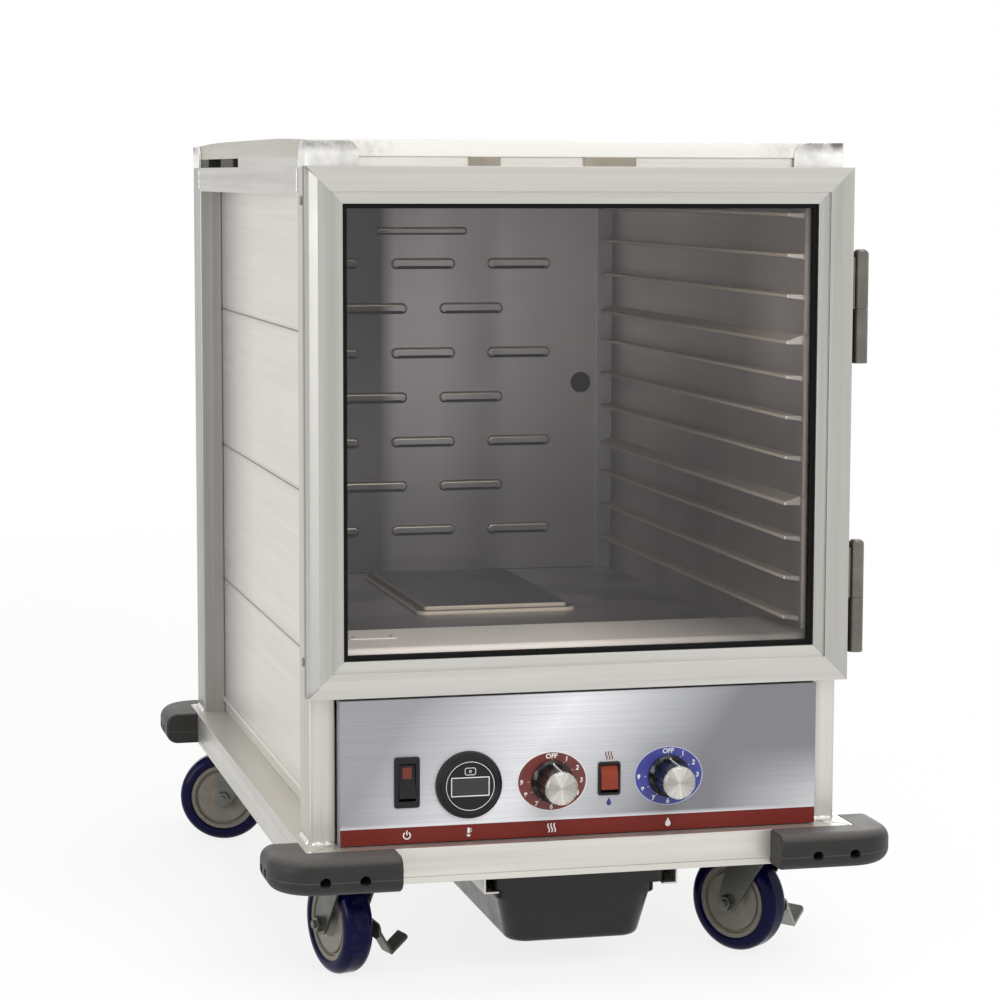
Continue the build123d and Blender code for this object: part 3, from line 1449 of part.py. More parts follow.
# One caster: fork with its axle, hub and tread, and the lever where there is one
def make_caster(name, x_side, y_side, has_lever):
    angle = radians(trail_angles[name])
    trail = Vector(cos(angle), sin(angle), 0)
    far_side = Vector(sin(angle), -cos(angle), 0)
    swivel = Vector(x_side * caster_x, y_side * caster_y, 0)
    wheel_radius = wheel_diameter / 2
    axle_centre = swivel + trail * caster_trail + Vector(0, 0, wheel_radius)
    leg_plane = Plane(origin=swivel, x_dir=trail, z_dir=far_side)
    crown_base = Plane(origin=swivel + Vector(0, 0, crown_top - crown_plate), x_dir=trail, z_dir=(0, 0, 1))
    fork_outer = fork_inner + fork_wall

    with BuildPart() as fork:
        for offset in (-fork_outer, fork_inner):
            with BuildSketch(leg_plane.offset(offset)) as leg:
                with Locations((caster_trail, wheel_radius)):
                    Circle(fork_eye_radius)
                with Locations((0, crown_top - crown_plate / 2)):
                    Rectangle(crown_length, crown_plate)
                make_hull()
            extrude(leg.sketch, amount=fork_wall)
        with BuildSketch(leg_plane.offset(fork_inner)) as lug:
            with Locations((caster_trail - fork_lug_setback, wheel_radius + fork_lug_rise)):
                Rectangle(*fork_lug)
        extrude(lug.sketch, amount=fork_wall)
        with BuildSketch(crown_base) as crown:
            Rectangle(crown_length, 2 * fork_outer)
        extrude(crown.sketch, amount=crown_plate)
        rod(swivel + Vector(0, 0, crown_bottom), (0, 0, 1), 2 * fork_inner, crown_skirt)
        bore = kingpin_diameter + 2 * running_fit
        rod(swivel + Vector(0, 0, crown_bottom), (0, 0, 1), bore, crown_skirt + crown_plate, Mode.SUBTRACT)
        axle_bore_start = axle_centre - far_side * fork_outer
        rod(axle_bore_start, far_side, axle_diameter, 2 * fork_outer, Mode.SUBTRACT)

    lever_room = lever_wall + 2 * swing_gap if has_lever else 0
    with BuildPart() as axle:
        near_end = axle_centre - far_side * fork_outer
        rod(near_end, far_side, axle_diameter, 2 * fork_outer + lever_room)
        for start, direction in (
            (near_end, far_side * -1),
            (near_end + far_side * (2 * fork_outer + lever_room), far_side),
        ):
            with BuildSketch(Plane(origin=start, z_dir=direction)) as nut:
                RegularPolygon(axle_head_diameter / 2, 6)
            extrude(nut.sketch, amount=axle_head)
            rod(start + direction * axle_head, direction, axle_end_diameter, axle_end)
    write_node(f"{name}_fork", fork, axle)

    section_plane = Plane(origin=axle_centre, x_dir=far_side, z_dir=trail * -1)
    spin = Axis(axle_centre, far_side)
    hub_bore = axle_diameter / 2 + running_fit
    with BuildPart() as hub:
        with BuildSketch(section_plane) as half_section:
            with BuildLine():
                Polyline(
                    (0, hub_bore),
                    (hub_boss_half, hub_bore),
                    (hub_boss_half, hub_boss_radius - hub_boss_chamfer),
                    (hub_boss_half - hub_boss_chamfer, hub_boss_radius),
                    (hub_face - hub_boss_foot_inset, hub_boss_radius + hub_boss_foot),
                    (hub_face - hub_web_inset, hub_groove_radius - hub_groove),
                    (hub_face - hub_groove_depth, hub_groove_radius - hub_groove / 2),
                    (hub_face - hub_groove_depth, hub_groove_radius + hub_groove / 2),
                    (hub_face, hub_groove_radius + hub_groove),
                    (hub_face, tread_inner_radius),
                    (0, tread_inner_radius),
                    (0, hub_bore),
                )
            make_face()
            mirror(about=Plane.YZ)
        revolve(half_section.sketch, axis=spin)
    write_node(f"{name}_hub", hub)

    with BuildPart() as tread:
        half_tread = tread_width / 2
        bulge_x, bulge_drop = tread_shoulder_bulge
        with BuildSketch(section_plane) as tread_section:
            with BuildLine():
                Polyline(
                    (0, tread_inner_radius),
                    (hub_face, tread_inner_radius),
                    (half_tread, tread_inner_radius + tread_bead),
                    (half_tread, wheel_radius - tread_shoulder),
                )
                ThreePointArc(
                    (half_tread, wheel_radius - tread_shoulder),
                    (bulge_x, wheel_radius - bulge_drop),
                    (tread_flat_half, wheel_radius),
                )
                Polyline((tread_flat_half, wheel_radius), (0, wheel_radius), (0, tread_inner_radius))
            make_face()
            mirror(about=Plane.YZ)
        revolve(tread_section.sketch, axis=spin)
    write_node(f"{name}_tread", tread)

    if has_lever:
        lever_plane = leg_plane.offset(fork_outer + swing_gap)
        tip_x = caster_trail - lever_reach + lever_tip_radius
        tip_z = wheel_radius - lever_drop
        with BuildPart() as lever:
            with BuildSketch(lever_plane) as arm:
                with Locations((caster_trail, wheel_radius)):
                    Circle(lever_eye_radius)
                with Locations((tip_x, tip_z)):
                    Circle(lever_tip_radius)
                make_hull()
                with Locations((caster_trail, wheel_radius)):
                    Circle(axle_diameter / 2 + running_fit, mode=Mode.SUBTRACT)
            extrude(arm.sketch, amount=lever_wall)
            # The pedal folds out and down from the arm, then up to its end
            fold_origin = lever_plane.from_local_coords((caster_trail - lever_reach, tip_z, lever_wall / 2))
            with BuildSketch(Plane(origin=fold_origin, x_dir=far_side, z_dir=trail * -1)) as pedal:
                with BuildLine():
                    Polyline((0, 0), (pedal_foot[0], -pedal_foot[1]), (pedal_end[0], -pedal_end[1]))
                trace(line_width=lever_wall)
            extrude(pedal.sketch, amount=-pedal_width)
            outer_face = lever.faces().sort_by(Axis(axle_centre, far_side))[-1]
            fillet(outer_face.edges().sort_by(Axis(axle_centre, trail))[0], pedal_corner)
        write_node(f"{name}_brake_lever", lever)


make_caster("front_left", -1, -1, True)
make_caster("front_right", 1, -1, True)
make_caster("rear_left", -1, 1, False)
make_caster("rear_right", 1, 1, False)
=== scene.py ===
import math

import bmesh
import bpy
from mathutils import Matrix, Vector


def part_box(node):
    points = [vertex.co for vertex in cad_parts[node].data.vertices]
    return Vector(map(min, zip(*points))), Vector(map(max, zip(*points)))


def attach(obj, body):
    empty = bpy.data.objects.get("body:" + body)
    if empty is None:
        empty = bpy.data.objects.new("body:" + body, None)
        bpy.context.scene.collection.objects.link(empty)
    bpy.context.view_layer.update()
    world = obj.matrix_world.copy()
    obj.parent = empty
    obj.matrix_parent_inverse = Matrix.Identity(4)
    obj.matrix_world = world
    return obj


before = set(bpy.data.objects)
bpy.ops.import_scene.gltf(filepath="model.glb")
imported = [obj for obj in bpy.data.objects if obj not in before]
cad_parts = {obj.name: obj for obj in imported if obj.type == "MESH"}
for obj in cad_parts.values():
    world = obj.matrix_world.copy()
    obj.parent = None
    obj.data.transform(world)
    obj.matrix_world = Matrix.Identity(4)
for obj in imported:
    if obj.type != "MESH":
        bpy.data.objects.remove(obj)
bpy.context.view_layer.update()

MM = 0.001

# Planes and places shared with the model, in metres
PANEL_Y = -0.3826
STRIPE_TOP = 0.1635
DIAL_Y = PANEL_Y - 0.0008
KNOB_BASE_Y = DIAL_Y - 0.001
KNOB_BODY_HEIGHT = 0.0345
KNOB_FACE_Y = KNOB_BASE_Y - KNOB_BODY_HEIGHT
DIAL_Z = 0.2014
HEAT_X = -0.0301
HUMIDITY_X = 0.0863
DIAL_RADII = (0.03435, 0.02865)
GAUGE_X = -0.1118
GAUGE_Z = 0.2016
GAUGE_FACE_Y = PANEL_Y - 0.007
POWER_X = -0.1719
POWER_Z = 0.2066
MODE_X = 0.0267
ROCKER_PIVOT_Y = PANEL_Y + 0.004
ROCKER_TILT = math.radians(-10)
SILL_TOP = 0.3327
FRONT_Y = -0.3646
REAR_Y = 0.397
POST_OUTER_X = 0.2622
POST_INNER_X = 0.2368
BASE_TOP = 0.1467
BASE_SIDE_X = 0.2715
BASE_END_Y = 0.399
POST_DEPTH = 0.0508
POST_TOP = 0.785
TOP_RAIL_BOTTOM = 0.7582
ROOF_EDGE = 0.809
PLANK_HEIGHT = 0.1586
PLANK_COUNT = 4
WALL_MIDDLE_X = 0.2355
LEDGE_NOSE_X = 0.2203
LOUVRE_HALF_WIDTH = 0.2162
BACK_SHEET_Y = 0.382
BUMPER_LINE_Z = 0.126
PRINT_THICKNESS = 0.1 * MM
SMALLEST_CORNER = 0.1 * MM

# Camera at the photograph's place, in metres and degrees
CAMERA_LENS_MM = 105.0
SENSOR_WIDTH_MM = 36.0
CAMERA_PLACE = Vector((-0.7337, -3.0360, 0.7762))
CAMERA_YAW = math.radians(13.80)
CAMERA_PITCH = math.radians(6.33)
CAMERA_ROLL = math.radians(0.16)


def make_camera():
    ahead = Vector((math.sin(CAMERA_YAW), math.cos(CAMERA_YAW), 0))
    right = Vector((math.cos(CAMERA_YAW), -math.sin(CAMERA_YAW), 0))
    up = Vector((0, 0, 1))
    look = ahead * math.cos(CAMERA_PITCH) - up * math.sin(CAMERA_PITCH)
    top = up * math.cos(CAMERA_PITCH) + ahead * math.sin(CAMERA_PITCH)
    rolled_right = right * math.cos(CAMERA_ROLL) + top * math.sin(CAMERA_ROLL)
    rolled_top = top * math.cos(CAMERA_ROLL) - right * math.sin(CAMERA_ROLL)
    data = bpy.data.cameras.new("camera")
    data.lens = CAMERA_LENS_MM
    data.sensor_width = SENSOR_WIDTH_MM
    camera = bpy.data.objects.new("camera", data)
    turn = Matrix((rolled_right, rolled_top, -look)).transposed()
    camera.matrix_world = Matrix.Translation(CAMERA_PLACE) @ turn.to_4x4()
    bpy.context.scene.collection.objects.link(camera)
    bpy.context.scene.camera = camera


make_camera()


# Colour written as the eight-bit value that it renders as
def colour(text):
    channels = [int(text[i : i + 2], 16) / 255 for i in (1, 3, 5)]
    linear = [c / 12.92 if c <= 0.04045 else ((c + 0.055) / 1.055) ** 2.4 for c in channels]
    return (*linear, 1.0)


# The same colour darker or paler
def shaded(text, factor):
    return (*[min(c * factor, 0.97) for c in colour(text)[:3]], 1.0)


# A material being built, with short ways to add and join its nodes
class Shader:
    def __init__(self, name):
        self.material = bpy.data.materials.new(name)
        self.material.use_nodes = True
        self.nodes = self.material.node_tree.nodes
        self.nodes.clear()
        self.output = self.nodes.new("ShaderNodeOutputMaterial")
        self.surface = self.add("ShaderNodeBsdfPrincipled")
        self.show(self.surface.outputs[0])
        self.place = self.add("ShaderNodeTexCoord").outputs["Object"]
        self.axes = self.add("ShaderNodeSeparateXYZ", Vector=self.place).outputs

    def join(self, socket, value):
        if isinstance(value, bpy.types.NodeSocket):
            self.material.node_tree.links.new(value, socket)
        else:
            socket.default_value = value

    def add(self, kind, settings=(), **inputs):
        node = self.nodes.new(kind)
        for key, value in dict(settings).items():
            setattr(node, key, value)
        for key, value in inputs.items():
            self.join(node.inputs[key.replace("_", " ")], value)
        return node

    def show(self, shader):
        self.join(self.output.inputs["Surface"], shader)

    def set(self, **inputs):
        for key, value in inputs.items():
            self.join(self.surface.inputs[key.replace("_", " ")], value)

    def maths(self, operation, *values, clamp=False):
        node = self.add("ShaderNodeMath", {"operation": operation, "use_clamp": clamp})
        for socket, value in zip(node.inputs, values):
            self.join(socket, value)
        return node.outputs[0]

    def vector(self, operation, *values, output="Vector"):
        node = self.add("ShaderNodeVectorMath", {"operation": operation})
        for socket, value in zip(node.inputs, values):
            self.join(socket, value)
        return node.outputs[output]

    def point(self, x, y, z):
        return self.add("ShaderNodeCombineXYZ", X=x, Y=y, Z=z).outputs[0]

    def scaled(self, factors):
        return self.vector("MULTIPLY", self.place, factors)

    def noise(self, vector, scale=1.0, detail=3.0, roughness=0.55):
        settings = {"Scale": scale, "Detail": detail, "Roughness": roughness}
        return self.add("ShaderNodeTexNoise", Vector=vector, **settings).outputs["Fac"]

    def between(self, value, low, high, to_low=0.0, to_high=1.0):
        node = self.add("ShaderNodeMapRange", {"clamp": True}, Value=value)
        ends = {"From Min": low, "From Max": high, "To Min": to_low, "To Max": to_high}
        for key, number in ends.items():
            self.join(node.inputs[key], number)
        return node.outputs[0]

    def mix(self, share, first, second, blend="MIX"):
        node = self.add("ShaderNodeMix", {"data_type": "RGBA", "blend_type": blend})
        colour_a, colour_b = [socket for socket in node.inputs if socket.type == "RGBA"]
        self.join(node.inputs[0], share)
        self.join(colour_a, first)
        self.join(colour_b, second)
        return [socket for socket in node.outputs if socket.type == "RGBA"][0]

    def bump(self, height, strength, distance, normal=None):
        node = self.add("ShaderNodeBump", Height=height, Strength=strength, Distance=distance)
        if normal is not None:
            self.join(node.inputs["Normal"], normal)
        return node.outputs[0]

    def round_normal(self, radius):
        return self.add("ShaderNodeBevel", {"samples": 4}, Radius=radius).outputs[0]

    def edge_mask(self, rounded, gain=5.0):
        flat = self.add("ShaderNodeNewGeometry").outputs["Normal"]
        likeness = self.vector("DOT_PRODUCT", rounded, flat, output="Value")
        return self.maths("MULTIPLY", self.maths("SUBTRACT", 1.0, likeness), gain, clamp=True)

    def base(self):
        return self.surface.inputs["Base Color"].links[0].from_socket

    def tint(self, share, tone):
        self.set(Base_Color=self.mix(share, self.base(), tone))

    def blend(self, share, first, second):
        node = self.add("ShaderNodeMixShader", Fac=share)
        self.join(node.inputs[1], first)
        self.join(node.inputs[2], second)
        self.show(node.outputs[0])

    def facing(self, axis):
        normal = self.add("ShaderNodeNewGeometry").outputs["Normal"]
        return self.add("ShaderNodeSeparateXYZ", Vector=normal).outputs[axis]

    def facing_up(self, low, high, amount=1.0):
        return self.between(self.facing("Z"), low, high, 0.0, amount)

    def facing_sideways(self, low, high):
        return self.between(self.maths("ABSOLUTE", self.facing("X")), low, high)

    def length(self, across, upward):
        squares = [self.maths("POWER", part, 2.0) for part in (across, upward)]
        return self.maths("SQRT", self.maths("ADD", *squares))

    def near(self, centre, reach):
        distance = self.vector("DISTANCE", self.place, centre, output="Value")
        return self.between(distance, 0.0, reach, 1.0, 0.0)


# Streak rates per metre along, across and up a bar or sheet, first of the fine and then of the broad ones
FLAT_STREAKS = (3.0, 3.0, 900.0, 1.4, 1.4, 120.0)
UPRIGHT_STREAKS = (900.0, 40.0, 4.0, 140.0, 8.0, 1.6)

# Rates of the turned rings on a knob's cap and of the lens ribs, in radians per metre
CAP_RING_RATE = 22000.0
LENS_RIB_RATE = 6000.0

# Slant of the painted sheen on the drawer's front, in metres across for a metre up
OVERLAY_SLANT = 0.74

# Radii that the shading rounds edges to, and depths of fine relief, in metres
BAR_ROUNDING = 0.0007
PART_ROUNDING = 0.0006
LENS_ROUNDING = 0.0004
DIAL_ROUNDING = 0.0003
FINE_RELIEF = 0.0001
GRAIN_RELIEF = 0.00015
RING_RELIEF = 0.00005

# Places and reaches of changes in tone, many of them painted light or shade, in metres; most pairs are the
# start and the end of a change
LOUVRE_SHEEN_X = (-0.05, -0.032)
LOUVRE_LEFT_X = (-0.21, -0.15)
LOUVRE_LOW_Z = (0.62, 0.38)
LOUVRE_STRIP_BLEND = 0.0005
FLOOR_SHADE_Y = (0.2, -0.15)
SILL_SHADE_X = (0.0, 0.18)
SEAM_LINE = (0.0004, 0.0013)
SEAM_SOFT_BAND = (0.001, 0.006)
WALL_REFLECTION_Y = (0.12, 0.27)
INSIDE_SHEEN_Z = (0.42, 0.72)
INSIDE_SHADE_Y = (-0.25, 0.1)
INSIDE_LIGHT_Y = (0.0, 0.25)
WALL_GLINT_PLACE = (-0.26, 0.64)
WALL_GLINT_REACH = 0.12
LEDGE_NOSE_BLEND = (0.0008, 0.0018)
FACE_BLEND = 0.0002
GRIME_CORNER = 0.052
GRIME_REACH = 0.062
GRIME_DROP = 0.006
ROOF_SIDE_INSET = (0.0045, 0.004)
SPACER_PALE_DEPTH = (0.03, 0.05)
BRACKET_TOP_DROP = (0.011, 0.003)
BUMPER_LINE = (0.0002, 0.0006)
OVERLAY_SHEEN_SHIFT = (0.2, 0.244)
OVERLAY_SHEEN_REACH = 0.18
OVERLAY_LEFT_X = (0.05, -0.1)
OVERLAY_RIGHT_X = (0.13, 0.23)
OVERLAY_LOW_Z = (0.225, 0.17)
BAND_HALO = 0.004
PRINT_EDGE = (0.00005, 0.0001)
CAP_BLEND = 0.00005
TREAD_WORN_RADII = (0.0485, 0.0506)


# Bare aluminium with drawn streaks, soft blotches, brighter edges of painted highlight and duller sides of
# painted shade
def aluminium(
    name, tone, upright=False, metal=0.82, shine=0.4, streak=0.35, blotch=0.5, edge=0.9, side=0.76
):
    s = Shader(name)
    along = s.maths("ADD", s.axes["X"], s.axes["Y"])
    skew = s.maths("SUBTRACT", s.axes["X"], s.axes["Y"])
    rates = UPRIGHT_STREAKS if upright else FLAT_STREAKS
    directions = (along, skew, s.axes["Z"]) * 2
    spread = [s.maths("MULTIPLY", direction, rate) for direction, rate in zip(directions, rates)]
    fine_streak = s.noise(s.point(*spread[:3]), 1.0, 2.0)
    broad_streak = s.noise(s.point(*spread[3:]), 1.0, 3.0)
    blotches = s.noise(s.place, 9.0, 4.0, 0.6)
    specks = s.noise(s.place, 420.0, 2.0)
    dark = shaded(tone, 1 - streak)
    light = shaded(tone, 1 + 0.35 * streak)
    streaked = s.mix(s.between(broad_streak, 0.3, 0.7), dark, light)
    streaked = s.mix(s.between(fine_streak, 0.25, 0.75, 0.0, 0.35), streaked, light)
    worn = s.mix(s.between(blotches, 0.35, 0.8, 0.0, blotch * 0.3), streaked, dark)
    worn = s.mix(s.between(specks, 0.68, 0.8, 0.0, 0.25), worn, dark)
    rounded = s.round_normal(BAR_ROUNDING)
    # Painted highlight along the rounded edges
    rim = s.maths("MULTIPLY", s.edge_mask(rounded), edge)
    edge_lit = s.mix(rim, worn, shaded(tone, 1.35))
    # Painted shade on the faces turned sideways, as deep as side sets
    side_shaded = s.mix(1.0, edge_lit, (side, side, side, 1.0), "MULTIPLY")
    s.set(Base_Color=s.mix(s.facing_sideways(0.6, 0.95), edge_lit, side_shaded), Metallic=metal)
    rough = s.between(broad_streak, 0.3, 0.7, shine + 0.06, shine - 0.05)
    rough = s.maths("ADD", rough, s.between(blotches, 0.3, 0.8, -0.03, 0.06))
    s.set(Roughness=rough, Normal=s.bump(fine_streak, 0.1, FINE_RELIEF, rounded))
    return s


# Bright-rolled sheet inside the heated space: soft upright clouds and faint scuffs
def inner_metal(name, tone, shine=0.33, metal=0.75):
    s = Shader(name)
    bands = s.noise(s.scaled((9.0, 9.0, 0.5)), 1.0, 2.0, 0.4)
    clouds = s.noise(s.place, 5.0, 3.0, 0.5)
    scuffs = s.noise(s.scaled((34.0, 34.0, 16.0)), 1.0, 5.0, 0.7)
    toned = s.mix(s.between(bands, 0.42, 0.55), shaded(tone, 0.6), colour(tone))
    toned = s.mix(s.between(clouds, 0.4, 0.7, 0.0, 0.5), toned, shaded(tone, 1.25))
    toned = s.mix(s.between(scuffs, 0.62, 0.78, 0.0, 0.12), toned, shaded(tone, 1.4))
    s.set(Base_Color=toned, Metallic=metal)
    s.set(Roughness=s.between(clouds, 0.3, 0.75, shine - 0.03, shine + 0.06))
    return s


# Pressed louvres: lips and ends with painted highlight, shaded as if they faced the front; painted shade on
# the lower sides, the side strips, the left part and the bottom
def louvred_sheet():
    s = inner_metal("louvred_sheet", LOUVRE_TONE)
    x = s.axes["X"]
    normal = s.add("ShaderNodeNewGeometry").outputs["Normal"]
    lip = s.maths("MAXIMUM", s.facing_up(0.05, 0.2), s.facing_sideways(0.2, 0.5))
    strip = s.between(s.maths("ABSOLUTE", x), LOUVRE_HALF_WIDTH, LOUVRE_HALF_WIDTH + LOUVRE_STRIP_BLEND)
    # Painted shade: darker on the left part up to the sheen's edge, towards the bottom, and on the side
    # strips
    painted_shade = s.between(x, *LOUVRE_SHEEN_X, 0.97, 0.0)
    painted_shade = s.maths("MULTIPLY", painted_shade, s.between(x, *LOUVRE_LEFT_X, 0.8, 1.0))
    toned = s.mix(painted_shade, s.base(), shaded(LOUVRE_TONE, 0.1))
    toned = s.mix(s.between(s.axes["Z"], *LOUVRE_LOW_Z, 0.0, 0.5), toned, shaded(LOUVRE_TONE, 0.4))
    plain = s.mix(strip, toned, shaded(LOUVRE_TONE, 0.3))
    # Painted highlight on the lips and ends, and painted shade on the faces turned down
    lit = s.mix(s.maths("MULTIPLY", lip, s.maths("SUBTRACT", 1.0, strip)), plain, colour("#fbf6ea"))
    s.set(Base_Color=s.mix(s.facing_up(-0.15, -0.6, 0.95), lit, colour("#131211")))
    s.set(Metallic=s.between(lip, 0.0, 1.0, 0.75, 1.0))
    forward = s.mix(s.maths("MULTIPLY", lip, 0.85), normal, (0.0, -1.0, 0.0, 1.0))
    s.set(Normal=s.vector("NORMALIZE", forward))
    return s


# Cavity floor: painted shade towards the door
def floor_sheet():
    s = inner_metal("floor_sheet", FLOOR_SHEET_TONE, shine=0.31)
    painted_shade = s.between(s.axes["Y"], *FLOOR_SHADE_Y, 0.0, 0.7)
    s.tint(painted_shade, shaded(FLOOR_SHEET_TONE, 0.3))
    return s


# Raised steam cover: painted highlight on its two folded steps
def stepped_cover():
    s = inner_metal("stepped_cover", COVER_TONE)
    # Painted highlight on the two steps, the faces that are not level
    step = s.facing_up(0.985, 0.85)
    s.tint(step, colour("#e9e1d0"))
    s.set(Metallic=s.between(step, 0.0, 1.0, 0.75, 0.3))
    return s


# Wall planks: pale outside with dark seams and a strip of painted reflection by the rear post; greyer inside
# with painted light and shade; ledges pale with painted highlight
def wall_sheet():
    settings = {"metal": 0.72, "shine": 0.42, "streak": 0.05, "blotch": 0.35, "edge": 0.3, "side": 1.0}
    s = aluminium("wall_sheet", WALL_TONE, **settings)
    outside = s.base()
    depth = s.axes["Y"]
    height = s.axes["Z"]
    for seam in range(1, PLANK_COUNT):
        off_seam = s.maths("ABSOLUTE", s.maths("SUBTRACT", height, BASE_TOP + seam * PLANK_HEIGHT))
        outside = s.mix(s.between(off_seam, *SEAM_LINE, 0.75, 0.0), outside, colour("#4a453d"))
        # A soft darker band along each seam
        outside = s.mix(s.between(off_seam, *SEAM_SOFT_BAND, 0.25, 0.0), outside, colour("#8b857b"))
    # Painted reflection of the rear post: a darker strip on the outside towards it
    outside = s.mix(s.between(depth, *WALL_REFLECTION_Y, 0.0, 0.45), outside, colour("#8d8d90"))
    bands = s.noise(s.scaled((6.0, 6.0, 1.4)), 1.0, 3.0, 0.5)
    inside = s.mix(s.between(bands, 0.38, 0.6), shaded(INNER_TONE, 0.55), shaded(INNER_TONE, 1.1))
    # Painted light and shade inside: brighter high up and at the back, darker towards the front, with a
    # painted glint near the front top
    inside = s.mix(s.between(height, *INSIDE_SHEEN_Z), inside, shaded(INNER_TONE, 2.0))
    inside = s.mix(s.between(depth, *INSIDE_SHADE_Y, 0.55, 0.0), inside, shaded(INNER_TONE, 0.45))
    inside = s.mix(s.between(depth, *INSIDE_LIGHT_Y, 0.0, 0.65), inside, shaded(INNER_TONE, 1.9))
    glint = s.maths("MULTIPLY", s.near((WALL_MIDDLE_X, *WALL_GLINT_PLACE), WALL_GLINT_REACH), 0.85)
    inside = s.mix(glint, inside, shaded(INNER_TONE, 2.0))
    off_middle = s.maths("ABSOLUTE", s.axes["X"])
    # Painted highlight on the ledges' tops and noses
    nose = s.between(off_middle, *[LEDGE_NOSE_X + blend for blend in LEDGE_NOSE_BLEND], 1.0, 0.0)
    ledge_highlight = s.maths("MAXIMUM", s.facing_up(0.5, 0.9, 0.5), nose)
    inside = s.mix(ledge_highlight, inside, colour("#efe6d5"))
    s.set(Metallic=s.between(ledge_highlight, 0.0, 1.0, 0.72, 0.3))
    outer_face = s.between(off_middle, WALL_MIDDLE_X - FACE_BLEND, WALL_MIDDLE_X)
    s.set(Base_Color=s.mix(outer_face, inside, outside))
    return s


# Back sheet: pale outside, painted shade on the side towards the duct behind the louvres
def back_sheet():
    s = aluminium("back_sheet", WALL_TONE, metal=0.72, shine=0.42, streak=0.05, blotch=0.4)
    # Painted shade on the face towards the duct
    start = BACK_SHEET_Y - 2 * FACE_BLEND
    inner_face = s.between(s.axes["Y"], start, start + FACE_BLEND, 1.0, 0.0)
    s.tint(inner_face, colour("#1d1b1a"))
    return s


# Door sill: bright at the left, painted shade towards the hinges
def sill_sheet():
    s = aluminium("sill_sheet", SILL_TONE, metal=0.1, shine=0.42, streak=0.1, blotch=0.9)
    s.tint(s.between(s.axes["X"], *SILL_SHADE_X, 0.0, 0.85), colour("#57534f"))
    return s


# Black or coloured moulded plastic and rubber, with a fine grain and dust in its tone, and painted highlight
# along the edges
def moulded(name, tone, rough=0.45, grain=600.0, depth=0.2, edge=0.35, coat=0.0, gleam=0.3):
    s = Shader(name)
    fine = s.noise(s.place, grain, 2.0)
    cloud = s.noise(s.place, 30.0, 4.0, 0.6)
    base = colour(tone)
    pale = tuple(min(c * 1.5 + 0.012, 1.0) for c in base[:3]) + (1.0,)
    toned = s.mix(s.between(cloud, 0.3, 0.75), shaded(tone, 0.72), base)
    rounded = s.round_normal(PART_ROUNDING)
    # Painted highlight along the rounded edges
    rim = s.maths("MULTIPLY", s.edge_mask(rounded), edge)
    s.set(Base_Color=s.mix(rim, toned, pale), Normal=s.bump(fine, depth, GRAIN_RELIEF, rounded))
    s.set(Roughness=s.between(cloud, 0.3, 0.8, rough - 0.05, rough + 0.08))
    s.set(Coat_Weight=coat, Coat_Roughness=0.12, Specular_IOR_Level=gleam)
    return s


# Plated steel of the casters, hinges, screws and levers, cloudy and softly mottled, with painted highlight
# along the edges
def plated(name, tone, metal=0.85, rough=0.34):
    s = Shader(name)
    cloud = s.noise(s.place, 45.0, 5.0, 0.62)
    fine = s.noise(s.place, 900.0, 2.0)
    base = colour(tone)
    pale = tuple(min(c * 1.3, 0.95) for c in base[:3]) + (1.0,)
    toned = s.mix(s.between(cloud, 0.3, 0.7), shaded(tone, 0.7), base)
    rounded = s.round_normal(PART_ROUNDING)
    # Painted highlight along the rounded edges
    rim = s.edge_mask(rounded)
    s.set(Base_Color=s.mix(rim, toned, pale), Metallic=metal)
    s.set(Roughness=s.between(cloud, 0.3, 0.7, rough + 0.08, rough - 0.04))
    s.set(Normal=s.bump(fine, 0.15, FINE_RELIEF, rounded))
    return s


# Roof cover: rolled sheet with brown grime on its rim beside the corner brackets, and painted shade on its
# top and sides
def roof_sheet():
    s = aluminium("roof_sheet", ROOF_TONE, metal=0.35, shine=0.36, streak=0.05)
    grime_shape = s.noise(s.place, 150.0, 4.0, 0.7)
    # Painted shade on the faces turned up
    top = s.facing_up(0.8, 0.98)
    stained_and_shaded = s.mix(top, s.base(), shaded(ROOF_TONE, 0.72))
    on_rim = s.maths("SUBTRACT", 1.0, top)
    for x_side in (-1, 1):
        for y in (FRONT_Y + GRIME_CORNER, REAR_Y - GRIME_CORNER):
            centre = (x_side * (POST_OUTER_X - GRIME_CORNER), y, ROOF_EDGE - GRIME_DROP)
            spot = s.near(centre, GRIME_REACH)
            grime = s.maths("MULTIPLY", s.between(grime_shape, 0.36, 0.62), spot)
            stained_and_shaded = s.mix(s.maths("MULTIPLY", grime, on_rim), stained_and_shaded, colour("#5f4a33"))
    # Painted shade on the sides
    off_middle = s.maths("ABSOLUTE", s.axes["X"])
    side = s.between(off_middle, *[POST_OUTER_X - inset for inset in ROOF_SIDE_INSET], 0.0, 0.6)
    s.set(Base_Color=s.mix(side, stained_and_shaded, colour("#918b7b")))
    return s


# Roof spacers: pale at the front, painted shade along the sides
def roof_spacer():
    s = moulded("spacer_rubber", "#a29b8e", rough=0.6)
    # Painted shade along the sides
    side_shade = s.between(s.axes["Y"], *[FRONT_Y + depth for depth in SPACER_PALE_DEPTH])
    s.tint(side_shade, colour("#35322b"))
    return s


# Corner bracket: cast metal, dull, darker in patches along its top
def bracket_metal():
    s = plated("bracket_metal", BRACKET_TONE, metal=0.7, rough=0.42)
    top_patches = s.between(s.noise(s.place, 70.0, 3.0), 0.35, 0.65, 0.3, 1.0)
    upper = s.between(s.axes["Z"], *[ROOF_EDGE - drop for drop in BRACKET_TOP_DROP])
    s.tint(s.maths("MULTIPLY", upper, top_patches), colour("#77736f"))
    return s


